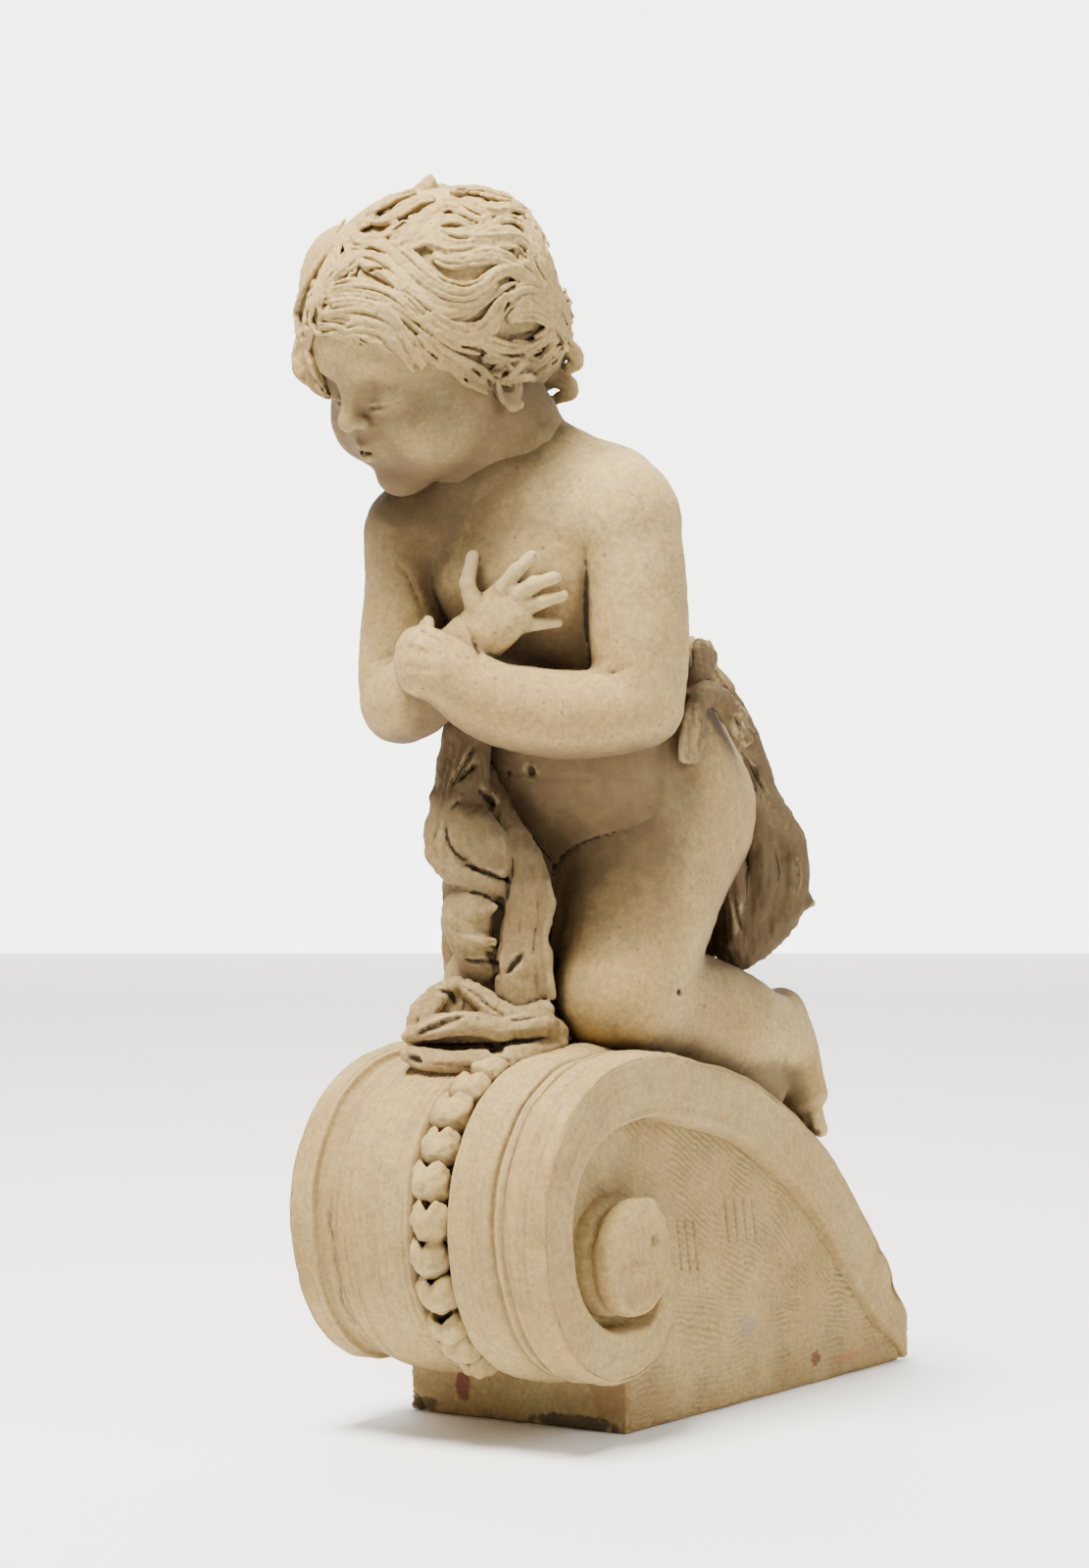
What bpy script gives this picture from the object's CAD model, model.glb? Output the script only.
# %% [markdown]
# # A terracotta putto on a console scroll
#
# The real object is one lump of buff clay, modelled by hand and fired: a child kneels on a console, with its
# arms crossed. The CAD model holds its form with few faces. Here the same lumps are pressed together again in
# a much finer grid, so that hair, hands, cloth and mouldings get the marks that fingers and tools left.

# %% Load the frame
import math

import bpy
import numpy as np
from mathutils import Matrix, Vector


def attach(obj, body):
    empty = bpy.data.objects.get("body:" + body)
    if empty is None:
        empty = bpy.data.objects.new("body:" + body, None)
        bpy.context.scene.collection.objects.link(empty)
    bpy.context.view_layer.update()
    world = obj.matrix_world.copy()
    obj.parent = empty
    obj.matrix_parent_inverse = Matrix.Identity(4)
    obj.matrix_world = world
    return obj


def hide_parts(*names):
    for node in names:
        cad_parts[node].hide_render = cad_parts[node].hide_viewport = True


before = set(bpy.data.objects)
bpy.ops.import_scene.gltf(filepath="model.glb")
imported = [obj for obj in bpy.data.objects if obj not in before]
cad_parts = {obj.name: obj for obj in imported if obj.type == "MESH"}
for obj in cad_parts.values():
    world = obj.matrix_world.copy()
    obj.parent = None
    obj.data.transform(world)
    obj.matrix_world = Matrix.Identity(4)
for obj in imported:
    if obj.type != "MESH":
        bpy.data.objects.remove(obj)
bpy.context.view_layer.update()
NODE = "putto_on_console"

# %% [markdown]
# ## Camera, floor and light
#
# The camera stands a little above the middle of the work and to the putto's left, far enough away for a long
# lens. A large soft light from the upper left gives the form, and a pale sky fills the shadows, as in a
# studio with white walls. The floor is plain and pale.

# %% Camera
VIEW_AZIMUTH = 32.53
VIEW_PITCH = 1.312
VIEW_DISTANCE = 1.8
VIEW_TARGET = Vector((0.02742, -0.149, 0.29174))
LENS = 92.94
SENSOR = 36.0


def aimed(obj, place, target):
    """The object at a place, looking at a target."""
    away = (Vector(target) - Vector(place)).normalized()
    right = away.cross(Vector((0, 0, 1))).normalized()
    turn = Matrix((right, right.cross(away), -away)).transposed()
    obj.matrix_world = Matrix.Translation(place) @ turn.to_4x4()
    bpy.context.scene.collection.objects.link(obj)
    return obj


def toward(azimuth, pitch):
    """The direction in which a camera at this azimuth and pitch looks, in degrees."""
    a = math.radians(azimuth)
    p = math.radians(pitch)
    return Vector((-math.sin(a) * math.cos(p), math.cos(a) * math.cos(p), -math.sin(p)))


lens = bpy.data.cameras.new("camera")
lens.sensor_fit = "VERTICAL"
lens.sensor_height = SENSOR
lens.lens = LENS
lens.clip_end = 20.0
camera = bpy.data.objects.new("camera", lens)
aimed(camera, VIEW_TARGET - toward(VIEW_AZIMUTH, VIEW_PITCH) * VIEW_DISTANCE, VIEW_TARGET)
bpy.context.scene.camera = camera
print("camera at", [round(v, 3) for v in camera.location])

# %% Light and floor
SKY = (1.0, 0.99, 0.97, 1.0)
SKY_STRENGTH = 0.28
LAMPS = (
    # name, azimuth, height, distance, size, watts, colour
    ("key", -8, 1.9, 0.72, 0.7, 150.0, (1.0, 0.945, 0.83)),
    ("side", 96, 1.0, 1.5, 0.9, 16.0, (1.0, 0.98, 0.94)),
    ("rear", 215, 1.4, 1.5, 1.1, 16.0, (1.0, 0.99, 0.97)),
)

world = bpy.data.worlds.new("studio")
bpy.context.scene.world = world
world.use_nodes = True
world.node_tree.nodes["Background"].inputs["Color"].default_value = SKY
world.node_tree.nodes["Background"].inputs["Strength"].default_value = SKY_STRENGTH

for lamp, azimuth, height, distance, size, watts, colour in LAMPS:
    data = bpy.data.lights.new(lamp, "AREA")
    data.shape = "DISK"
    data.size = size
    data.energy = watts
    data.color = colour
    a = math.radians(azimuth)
    place = Vector((math.sin(a) * distance, -math.cos(a) * distance, height))
    aimed(bpy.data.objects.new(lamp, data), place, (0.0, 0.0, 0.28))

FLOOR_SIZE = 14.0
FLOOR_COLOUR = (0.93, 0.93, 0.93, 1.0)
bpy.ops.mesh.primitive_plane_add(size=FLOOR_SIZE, location=(0, 0, 0))
floor = bpy.context.object
floor.name = "floor"
paper = bpy.data.materials.new("pale_floor")
paper.use_nodes = True
paper.node_tree.nodes["Principled BSDF"].inputs["Base Color"].default_value = FLOOR_COLOUR
paper.node_tree.nodes["Principled BSDF"].inputs["Roughness"].default_value = 0.9
floor.data.materials.append(paper)
PAPER_DISTANCE = 3.2
PAPER_SIZE = 9.0
PAPER_GLOW = 3.4
bpy.ops.mesh.primitive_plane_add(size=PAPER_SIZE, rotation=(math.pi / 2, 0, math.radians(VIEW_AZIMUTH)))
backdrop = bpy.context.object
backdrop.name = "backdrop"
backdrop.location = toward(VIEW_AZIMUTH, 0) * PAPER_DISTANCE
lit_paper = bpy.data.materials.new("lit_backdrop")
lit_paper.use_nodes = True
lit_paper.node_tree.nodes["Principled BSDF"].inputs["Base Color"].default_value = FLOOR_COLOUR
lit_paper.node_tree.nodes["Principled BSDF"].inputs["Emission Color"].default_value = (1.0, 0.995, 0.98, 1.0)
lit_paper.node_tree.nodes["Principled BSDF"].inputs["Emission Strength"].default_value = PAPER_GLOW
backdrop.data.materials.append(lit_paper)
print("lamps:", [row[0] for row in LAMPS])

# %% [markdown]
# ## Fired clay as a material
#
# Terracotta is matt and a little uneven in colour: yellowish where slip was brushed on, greyer where it was
# handled, nearly black in gaps that no cloth reaches. Three numbers are stored with each point of a mesh, and
# the material reads them: `hollow` says how much clay stands around the point, `crease` marks narrow grooves
# and `worn` marks edges. Grain, specks and stains are noise on Object coordinates, so they sit still.

# %% Node helpers
CLAY_LIGHT = (0.41, 0.303, 0.129, 1.0)
CLAY_WARM = (0.36, 0.243, 0.097, 1.0)
CLAY_GREY = (0.28, 0.21, 0.108, 1.0)
DUST = (0.145, 0.10, 0.05, 1.0)
SOOT = (0.016, 0.011, 0.005, 1.0)
WORN = (0.50, 0.385, 0.205, 1.0)
PATINA = (0.105, 0.068, 0.033, 1.0)
CLAY_ROUGHNESS = 0.86
CLAY_GLOSS = 0.28


class Recipe:
    """A material's node tree, with short calls for the nodes that it needs."""

    def __init__(self, name):
        self.material = bpy.data.materials.new(name)
        self.material.use_nodes = True
        self.tree = self.material.node_tree
        self.shader = self.tree.nodes["Principled BSDF"]
        self.place = self.node("ShaderNodeTexCoord").outputs["Object"]

    def node(self, kind, **settings):
        made = self.tree.nodes.new(kind)
        for key, value in settings.items():
            setattr(made, key, value)
        return made

    def put(self, value, socket):
        if isinstance(value, bpy.types.NodeSocket):
            self.tree.links.new(value, socket)
        else:
            socket.default_value = value

    def noise(self, scale, detail=3.0, rough=0.55, where=None, warp=0.0):
        made = self.node("ShaderNodeTexNoise")
        self.put(self.place if where is None else where, made.inputs["Vector"])
        made.inputs["Scale"].default_value = scale
        made.inputs["Detail"].default_value = detail
        made.inputs["Roughness"].default_value = rough
        made.inputs["Distortion"].default_value = warp
        return made.outputs["Fac"]

    def stretched(self, scale, turn=(0, 0, 0)):
        made = self.node("ShaderNodeMapping")
        self.put(self.place, made.inputs["Vector"])
        made.inputs["Scale"].default_value = scale
        made.inputs["Rotation"].default_value = [math.radians(v) for v in turn]
        return made.outputs["Vector"]

    def span(self, value, low, high, out_low=0.0, out_high=1.0):
        made = self.node("ShaderNodeMapRange", clamp=True)
        made.interpolation_type = "SMOOTHSTEP"
        self.put(value, made.inputs["Value"])
        for key, number in (("From Min", low), ("From Max", high), ("To Min", out_low), ("To Max", out_high)):
            self.put(number, made.inputs[key])
        return made.outputs["Result"]

    def maths(self, operation, one, two=0.0):
        made = self.node("ShaderNodeMath", operation=operation)
        self.put(one, made.inputs[0])
        self.put(two, made.inputs[1])
        return made.outputs[0]

    def mix(self, share, one, two, blend="MIX"):
        made = self.node("ShaderNodeMix", data_type="RGBA", blend_type=blend)
        self.put(share, made.inputs["Factor"])
        self.put(one, made.inputs["A"])
        self.put(two, made.inputs["B"])
        return made.outputs["Result"]

    def stored(self, name):
        return self.node("ShaderNodeAttribute", attribute_name=name).outputs["Fac"]


# %% Stains that the photograph shows, each with its place, size and colour
STAINS = (
    # place in metres, half sizes, colour, strength
    ((-0.033, -0.126, 0.016), (0.0045, 0.006, 0.0105), (0.16, 0.045, 0.03), 0.95),
    ((0.046, -0.126, 0.018), (0.013, 0.006, 0.013), (0.26, 0.15, 0.06), 0.7),
    ((-0.055, -0.126, 0.004), (0.010, 0.008, 0.0035), (0.05, 0.04, 0.025), 0.8),
    ((0.028, -0.126, 0.003), (0.026, 0.008, 0.004), (0.05, 0.04, 0.025), 0.85),
    ((0.0675, -0.058, 0.137), (0.003, 0.005, 0.0015), (0.36, 0.17, 0.06), 0.55),
    ((0.057, -0.022, 0.036), (0.006, 0.008, 0.006), (0.22, 0.20, 0.16), 0.55),
    ((0.060, 0.040, 0.012), (0.006, 0.0045, 0.004), (0.16, 0.06, 0.035), 0.9),
    ((0.060, 0.070, 0.009), (0.006, 0.018, 0.0025), (0.34, 0.16, 0.06), 0.6),
    ((0.013, -0.215, 0.032), (0.005, 0.010, 0.006), (0.36, 0.15, 0.04), 0.7),
)
CLOTH_STAINS = (
    ((0.045, 0.000, 0.262), (0.070, 0.085, 0.085), (0.060, 0.039, 0.019), 0.85),
    ((0.060, -0.062, 0.325), (0.014, 0.020, 0.034), (0.080, 0.050, 0.024), 0.80),
)


def stained(recipe, colour, stains):
    """The colour with each stain laid over it, its edge broken up by noise."""
    ragged = recipe.noise(260.0, 3.0)
    for place, half, tint, strength in stains:
        mapping = recipe.node("ShaderNodeMapping", vector_type="TEXTURE")
        recipe.put(recipe.place, mapping.inputs["Vector"])
        mapping.inputs["Location"].default_value = place
        mapping.inputs["Scale"].default_value = half
        length = recipe.node("ShaderNodeVectorMath", operation="LENGTH")
        recipe.put(mapping.outputs["Vector"], length.inputs[0])
        edge = recipe.maths("ADD", length.outputs["Value"], ragged)
        share = recipe.span(edge, 1.25, 1.6, strength, 0.0)
        colour = recipe.mix(share, colour, (*tint, 1.0))
    return colour


# %% The clay itself
def terracotta(name, warm=0.5, grime=1.0, shade=0.0, dull=0.0, streaks=(1, 1, 1), streak_depth=0.0, speckle=1.0, stains=()):
    """Fired clay. warm, grime and dull say how yellow, dirty and brown it is, and shade how brown it is
    where it is sheltered from above. streaks stretches its lines."""
    recipe = Recipe(name)
    broad = recipe.noise(16.0, 3.0, warp=0.4)
    patchy = recipe.noise(75.0, 4.0, 0.6, warp=0.6)
    fine = recipe.noise(420.0, 4.0, 0.65)
    lines = recipe.noise(260.0, 4.0, 0.6, where=recipe.stretched(streaks))
    colour = recipe.mix(recipe.span(broad, 0.40 - 0.12 * warm, 0.66), CLAY_WARM, CLAY_LIGHT)
    colour = recipe.mix(recipe.span(patchy, 0.50, 0.74, 0.0, 0.55), colour, CLAY_GREY)
    if dull:
        colour = recipe.mix(recipe.span(patchy, 0.30, 0.62, 1.15 * dull, 0.7 * dull), colour, PATINA)
    colour = recipe.mix(1.0, colour, recipe.span(fine, 0.30, 0.72, 0.78, 1.08), "MULTIPLY")
    colour = recipe.mix(1.0, colour, recipe.span(lines, 0.34, 0.66, 0.90, 1.05), "MULTIPLY")
    colour = stained(recipe, colour, stains)

    hollow = recipe.stored("hollow")
    crease = recipe.stored("crease")
    worn = recipe.stored("worn")
    rubbed = recipe.maths("MULTIPLY_ADD", patchy, 0.5)
    rubbed.node.inputs[2].default_value = 0.72
    brown = recipe.maths("MULTIPLY", recipe.span(recipe.stored("shelter"), 0.14, 0.84, 0.0, shade), rubbed)
    colour = recipe.mix(brown, colour, PATINA)
    dust = recipe.maths("MULTIPLY", recipe.span(hollow, 0.62, 0.88, 0.0, 0.75 * grime), rubbed)
    colour = recipe.mix(dust, colour, DUST)
    line_dirt = recipe.maths("MULTIPLY", recipe.span(crease, 0.15, 0.90, 0.0, 0.62 * grime), rubbed)
    colour = recipe.mix(line_dirt, colour, DUST)
    colour = recipe.mix(recipe.span(hollow, 0.71, 0.88, 0.0, 0.92), colour, SOOT)
    colour = recipe.mix(recipe.span(crease, 0.95, 1.35, 0.0, 0.85), colour, SOOT)
    colour = recipe.mix(recipe.span(worn, 0.35, 1.0, 0.0, 0.40), colour, WORN)

    cells = recipe.node("ShaderNodeTexVoronoi")
    recipe.put(recipe.place, cells.inputs["Vector"])
    cells.inputs["Scale"].default_value = 330.0
    here = recipe.node("ShaderNodeSeparateColor")
    recipe.put(cells.outputs["Color"], here.inputs["Color"])
    size = recipe.span(here.outputs["Red"], 0.80, 1.0, 0.0, 0.32)
    dot = recipe.maths("LESS_THAN", cells.outputs["Distance"], size)
    where = recipe.span(recipe.noise(38.0, 2.0), 0.42, 0.62, 0.12, 0.62 * speckle)
    colour = recipe.mix(recipe.maths("MULTIPLY", dot, where), colour, (0.13, 0.085, 0.05, 1.0))
    recipe.put(colour, recipe.shader.inputs["Base Color"])

    grain = recipe.maths("MULTIPLY", recipe.noise(1100.0, 3.0, 0.65), 0.00030)
    soft = recipe.maths("MULTIPLY", recipe.noise(320.0, 3.0, 0.55), 0.00036)
    drawn = recipe.maths("MULTIPLY", lines, streak_depth)
    pit = recipe.maths("MULTIPLY", dot, -0.00022)
    height = recipe.maths("ADD", recipe.maths("ADD", grain, soft), recipe.maths("ADD", drawn, pit))
    bump = recipe.node("ShaderNodeBump")
    recipe.put(height, bump.inputs["Height"])
    bump.inputs["Distance"].default_value = 1.0
    bump.inputs["Strength"].default_value = 0.9
    recipe.put(bump.outputs["Normal"], recipe.shader.inputs["Normal"])
    recipe.shader.inputs["Roughness"].default_value = CLAY_ROUGHNESS
    recipe.shader.inputs["Specular IOR Level"].default_value = CLAY_GLOSS
    return recipe.material


FLESH_CLAY = terracotta("flesh_clay", warm=0.3, grime=0.75, shade=0.97, speckle=1.3)
HAIR_CLAY = terracotta("hair_clay", warm=0.6, grime=1.1, shade=0.85, speckle=0.8)
ALONG_FOLDS = (1, 1, 0.12)
CLOTH_CLAY = terracotta("cloth_clay", 0.2, 1.15, 0.95, 0.50, ALONG_FOLDS, streak_depth=0.0004, stains=CLOTH_STAINS)
BAND_CLAY = terracotta("band_clay", warm=0.8, grime=0.65, shade=0.12, speckle=0.7, stains=STAINS)
PANEL_CLAY = terracotta("panel_clay", warm=0.35, grime=0.8, shade=0.25, speckle=1.0, stains=STAINS)
print("clay mixes:", [m.name for m in (FLESH_CLAY, HAIR_CLAY, CLOTH_CLAY, BAND_CLAY, PANEL_CLAY)])

# %% [markdown]
# ## Clay on a grid
#
# Soft modelled forms are hard to draw as faces. It is easier to keep, at every point of a grid, the distance
# to the surface: pressing on a lump is then a soft minimum, and cutting is the same with the sign turned. The
# surface comes out at the end as one closed skin. This is the same tool that made the CAD solid, with a
# smaller step. Sizes here are millimetres in the putto's own frame, whose origin is on top of the console.

# %% Drawn millimetres and the frame
FIGURE_ORIGIN = np.array([0.0, -0.149, 0.170])
MAIN_VIEW = 32.5


def metres(points):
    """Drawn millimetres of the putto's frame in the object's frame."""
    return FIGURE_ORIGIN + np.asarray(points, float) / 1000


def seen(across, away, up):
    """A point given as seen from the main view: to the right, away from the viewer, and up."""
    c = math.cos(math.radians(MAIN_VIEW))
    s = math.sin(math.radians(MAIN_VIEW))
    return (c * across - s * away, s * across + c * away, up)


def smooth_rows(rows, steps):
    """Rows of numbers, with steps more between each two, on one smooth curve through them."""
    rows = np.asarray(rows, float)
    padded = np.vstack([2 * rows[0] - rows[1], rows, 2 * rows[-1] - rows[-2]])
    out = []
    for i in range(1, len(padded) - 2):
        p0, p1, p2, p3 = padded[i - 1 : i + 3]
        for t in np.arange(steps) / steps:
            bend = (2 * p0 - 5 * p1 + 4 * p2 - p3) * t**2 + (3 * p1 - p0 - 3 * p2 + p3) * t**3
            out.append(0.5 * (2 * p1 + (p2 - p0) * t + bend))
    out.append(rows[-1])
    return np.array(out)


def uneven(points, wavelength, seed):
    """Smooth unevenness of about -1 to 1: the sum of waves in directions drawn with a fixed seed."""
    draw = np.random.default_rng(seed)
    total = np.zeros(len(points))
    for _ in range(14):
        way = draw.normal(size=3)
        way *= 2 * np.pi / (np.linalg.norm(way) * wavelength * draw.uniform(0.7, 1.4))
        total += np.sin(points @ way + draw.uniform(0, 2 * np.pi))
    return total / 4


# %% The clay
class Clay:
    """Distances to the clay's surface on a grid, in drawn millimetres, below zero inside."""

    FAR = 20.0

    def __init__(self, low, high, step):
        self.low = np.array(low, np.float32)
        self.step = np.float32(step * (1.0))
        self.count = np.ceil((np.array(high) - self.low) / self.step).astype(int) + 1
        self.field = np.full(self.count, self.FAR, np.float32)

    def block(self, low, high):
        """The part of the grid round a box: its slices and the x, y and z of its points."""
        first = np.clip(np.floor((low - self.low) / self.step).astype(int), 0, self.count - 1)
        last = np.clip(np.ceil((high - self.low) / self.step).astype(int) + 1, first + 1, self.count)
        where = tuple(slice(a, b) for a, b in zip(first, last))
        axes = [(self.low[i] + self.step * np.arange(first[i], last[i])).astype(np.float32) for i in range(3)]
        return where, np.ix_(*axes)

    def merge(self, where, distance, soft, cut):
        old = self.field[where]
        if cut:
            old = -old
        new = np.minimum(old, distance) - np.maximum(soft - np.abs(old - distance), 0) ** 2 / (4 * soft)
        self.field[where] = -new if cut else new

    def roll(self, rows, across=(1, 0, 0), soft=4.0, steps=4, cut=False):
        """Presses on, or cuts out, a roll along a smooth path.
        A row is x, y, z, half width and, where it isn't round, half thickness. The width lies along across."""
        rows = smooth_rows([list(r) + [r[3]] * (5 - len(r)) for r in rows], steps).astype(np.float32)
        centre = rows[:, :3]
        wide = np.maximum(rows[:, 3], 0.25)
        deep = np.maximum(rows[:, 4], 0.25)
        along = np.gradient(centre, axis=0)
        along /= np.linalg.norm(along, axis=1)[:, None] + 1e-9
        hint = np.asarray(across, np.float32)
        u = hint - along * (along @ hint)[:, None]
        u /= np.linalg.norm(u, axis=1)[:, None] + 1e-9
        v = np.cross(along, u)
        reach = np.maximum(wide, deep) + soft + 3 * self.step
        where, _ = self.block(centre.min(axis=0) - reach.max(), centre.max(axis=0) + reach.max())
        near = np.full(self.field[where].shape, self.FAR, np.float32)
        corner = np.array([part.start for part in where])
        for i in range(len(centre) - 1):
            a, b = centre[i], centre[i + 1]
            size = reach[i : i + 2].max()
            inner, (x, y, z) = self.block(np.minimum(a, b) - size, np.maximum(a, b) + size)
            inner = tuple(slice(part.start - c, part.stop - c) for part, c in zip(inner, corner))
            run = b - a
            px, py, pz = x - a[0], y - a[1], z - a[2]
            t = np.clip((px * run[0] + py * run[1] + pz * run[2]) / (run @ run + 1e-9), 0, 1)
            qx, qy, qz = px - t * run[0], py - t * run[1], pz - t * run[2]
            w, d = wide[i] + t * (wide[i + 1] - wide[i]), deep[i] + t * (deep[i + 1] - deep[i])
            ui, vi = u[i] + u[i + 1], v[i] + v[i + 1]
            ui, vi = ui / (np.linalg.norm(ui) + 1e-9), vi / (np.linalg.norm(vi) + 1e-9)
            qu = qx * ui[0] + qy * ui[1] + qz * ui[2]
            qv = qx * vi[0] + qy * vi[1] + qz * vi[2]
            size2 = qx * qx + qy * qy + qz * qz
            ends = np.maximum(size2 - qu * qu - qv * qv, 0) / np.minimum(w, d) ** 2
            share = np.sqrt((qu / w) ** 2 + (qv / d) ** 2 + ends) + 1e-6
            distance = np.where(share < 0.05, -np.minimum(w, d), np.sqrt(size2) * (1 - 1 / share))
            near[inner] = np.minimum(near[inner], distance)
        self.merge(where, near, soft, cut)

    def ball(self, centre, radii, turn=None, soft=4.0, cut=False):
        """Presses on, or cuts out, an egg. turn is a rotation matrix for its three radii."""
        centre = np.asarray(centre, np.float32)
        radii = np.asarray(radii if np.ndim(radii) else (radii,) * 3, np.float32)
        turn = np.eye(3) if turn is None else np.asarray(turn)
        turn = turn.astype(np.float32)
        size = radii.max() + soft + 3 * self.step
        where, (x, y, z) = self.block(centre - size, centre + size)
        p = [x - centre[0], y - centre[1], z - centre[2]]
        local = [sum(p[i] * turn[i, k] for i in range(3)) for k in range(3)]
        once = np.sqrt(sum((local[k] / radii[k]) ** 2 for k in range(3))) + 1e-6
        twice = np.sqrt(sum((local[k] / radii[k] ** 2) ** 2 for k in range(3))) + 1e-6
        self.merge(where, once * (once - 1) / twice, soft, cut)

    def value(self, points, grid=None):
        """What the grid, or another grid of its size, holds at some points."""
        grid = self.field if grid is None else grid
        at = (np.asarray(points) - self.low) / self.step
        first = np.clip(np.floor(at).astype(int), 0, self.count - 2)
        share = np.clip(at - first, 0, 1)
        total = np.zeros(len(at))
        for i in (0, 1):
            for j in (0, 1):
                for k in (0, 1):
                    weight = np.abs(1 - i - share[:, 0]) * np.abs(1 - j - share[:, 1]) * np.abs(1 - k - share[:, 2])
                    total += weight * grid[first[:, 0] + i, first[:, 1] + j, first[:, 2] + k]
        return total

    def facing(self, across, up, sink=0.0):
        """The first point of the clay that the main view meets at this place, pushed in by sink."""
        away = np.arange(-90.0, 210.0, 0.5)
        ray = np.array([seen(across, t, up) for t in away])
        met = np.nonzero(self.value(ray) < 0)[0]
        if not len(met):
            return None
        return np.array(seen(across, away[met[0]] + sink, up))

    def outmost(self, start, way, reach=30.0):
        """The last point of the clay on the way out from a start."""
        way = np.asarray(way, float) / np.linalg.norm(way)
        spots = np.asarray(start, float) + np.arange(0, reach, 0.2)[:, None] * way
        met = np.nonzero(self.value(spots) < 0)[0]
        return spots[met[-1]] if len(met) else spots[0]

    def score(self, path, width, sink=0.0, soft=1.0, steps=5):
        """Cuts a line where the main view sees it. path holds places across and up, width its half width."""
        spots = smooth_rows(path, steps)
        found = [self.facing(across, up, sink) for across, up in spots]
        rows = []
        for k, spot in enumerate(found):
            if spot is not None:
                taper = math.sin(math.pi * (k + 0.6) / (len(found) + 0.2)) ** 0.5
                rows.append((*spot, 0.75 * width * taper, width * taper))
        if len(rows) > 1:
            away = np.subtract(rows[-1][:3], rows[0][:3])
            beside = np.cross(away, seen(0, 1, 0))
            self.roll(rows, across=beside, soft=soft, steps=1, cut=True)

    def pit(self, across, up, size):
        """Presses a small hole where the main view sees it."""
        spot = self.facing(across, up)
        if spot is not None:
            self.ball(spot, size, soft=0.6, cut=True)

    def skin(self):
        """Points and four-sided faces of the surface."""
        inside = self.field < 0
        cells = self.count - 1
        mixed = np.zeros(cells, bool)
        whole = np.ones(cells, bool)
        for i in (0, 1):
            for j in (0, 1):
                for k in (0, 1):
                    corner = inside[i : i + cells[0], j : j + cells[1], k : k + cells[2]]
                    mixed |= corner
                    whole &= corner
        mixed &= ~whole
        number = np.full(mixed.shape, -1, np.int32)
        number[mixed] = np.arange(mixed.sum())
        at = np.argwhere(mixed)
        total, count = np.zeros((len(at), 3)), np.zeros(len(at))
        for axis in range(3):
            step = np.eye(3, dtype=int)[axis]
            for one in (0, 1):
                for two in (0, 1):
                    start = at + one * np.eye(3, dtype=int)[(axis + 1) % 3] + two * np.eye(3, dtype=int)[(axis + 2) % 3]
                    a, b = self.field[tuple(start.T)], self.field[tuple((start + step).T)]
                    cross = (a < 0) != (b < 0)
                    share = np.where(cross, a / np.where(cross, a - b, 1), 0)
                    total += np.where(cross[:, None], start + share[:, None] * step, 0)
                    count += cross
        points = self.low + self.step * total / count[:, None]
        faces = []
        for axis in range(3):
            one, two = (axis + 1) % 3, (axis + 2) % 3
            near = np.moveaxis(inside, (axis, one, two), (0, 1, 2))[:, 1:-1, 1:-1]
            change = near[:-1] != near[1:]
            edge = np.argwhere(change)
            starts_inside = near[:-1][change]
            around = []
            for i, j in ((0, 0), (1, 0), (1, 1), (0, 1)):
                cell = np.zeros_like(edge)
                cell[:, axis], cell[:, one], cell[:, two] = edge[:, 0], edge[:, 1] + i, edge[:, 2] + j
                around.append(number[tuple(cell.T)])
            quads = np.stack(around, axis=1)
            faces.append(np.where(starts_inside[:, None], quads, quads[:, ::-1]))
        return points, np.vstack(faces)


# %% [markdown]
# ## The body
#
# The lumps are the CAD solid's: torso, arms, hands and legs, each a roll or an egg. What comes on top is what
# a modeller adds last, with the tip of a tool: the folds of a plump child's armpits, elbows, wrists and groin,
# the gap under the forearm, knuckles and toes. They are cut where the main view sees them.

# %% Torso, shoulders and legs
BODY_STEP = 1.25


def torso(clay):
    clay.roll(
        [
            (9, 104, 88, 50, 44),
            (8, 100, 112, 57, 50),
            (5, 89, 142, 54, 50),
            (0, 73, 172, 50, 47),
            (-5, 54, 205, 50, 43),
            (-8, 40, 234, 46, 36),
            (-11, 33, 252, 34, 28),
        ]
    )
    clay.ball((4, 60, 132), (44, 32, 34), soft=14)
    clay.ball((-6, 22, 214), (36, 22, 22), soft=14)
    clay.ball((26, 57, 249), (27, 22, 26), soft=14)
    clay.ball((-38, 46, 243), (24, 20, 24), soft=14)
    clay.ball((34, 120, 106), (28, 30, 34), soft=12)
    clay.ball((-20, 126, 106), (28, 30, 34), soft=12)
    clay.roll([(36, 42, 244, 20), (12, 45, 262, 19), (-6, 42, 276, 17)], soft=12)
    clay.roll([(-50, 27, 238, 19), (-32, 34, 256, 19), (-18, 36, 272, 17)], soft=12)


def left_leg(clay):
    clay.roll([(27, 96, 110, 39), (28, 87, 86, 39), (29, 73, 54, 35), (33, 57, 28, 29)], soft=10)
    clay.ball((32, 50, 24), (25, 25, 25), soft=8)
    calf = [(33, 60, 22, 28), (37, 92, 18, 27.5), (43, 126, 8, 27), (49, 146, 3, 22), (53, 161, -1, 18.5)]
    clay.roll(calf, soft=5)
    clay.roll([(36, 96, -4, 16), (44, 134, -12, 14), (50, 158, -26, 11)], soft=6)
    foot(clay, 1)


def right_leg(clay):
    clay.roll([(-18, 100, 108, 38), (-20, 88, 84, 37), (-24, 68, 52, 33), (-28, 52, 28, 28)], soft=10)
    calf = [(-28, 54, 22, 27), (-32, 92, 18, 27), (-38, 126, 8, 26), (-44, 146, 3, 21), (-48, 161, -1, 18)]
    clay.roll(calf, soft=5)
    clay.roll([(-32, 96, -4, 16), (-38, 134, -12, 14), (-44, 158, -26, 11)], soft=6)
    foot(clay, -1)


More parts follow.
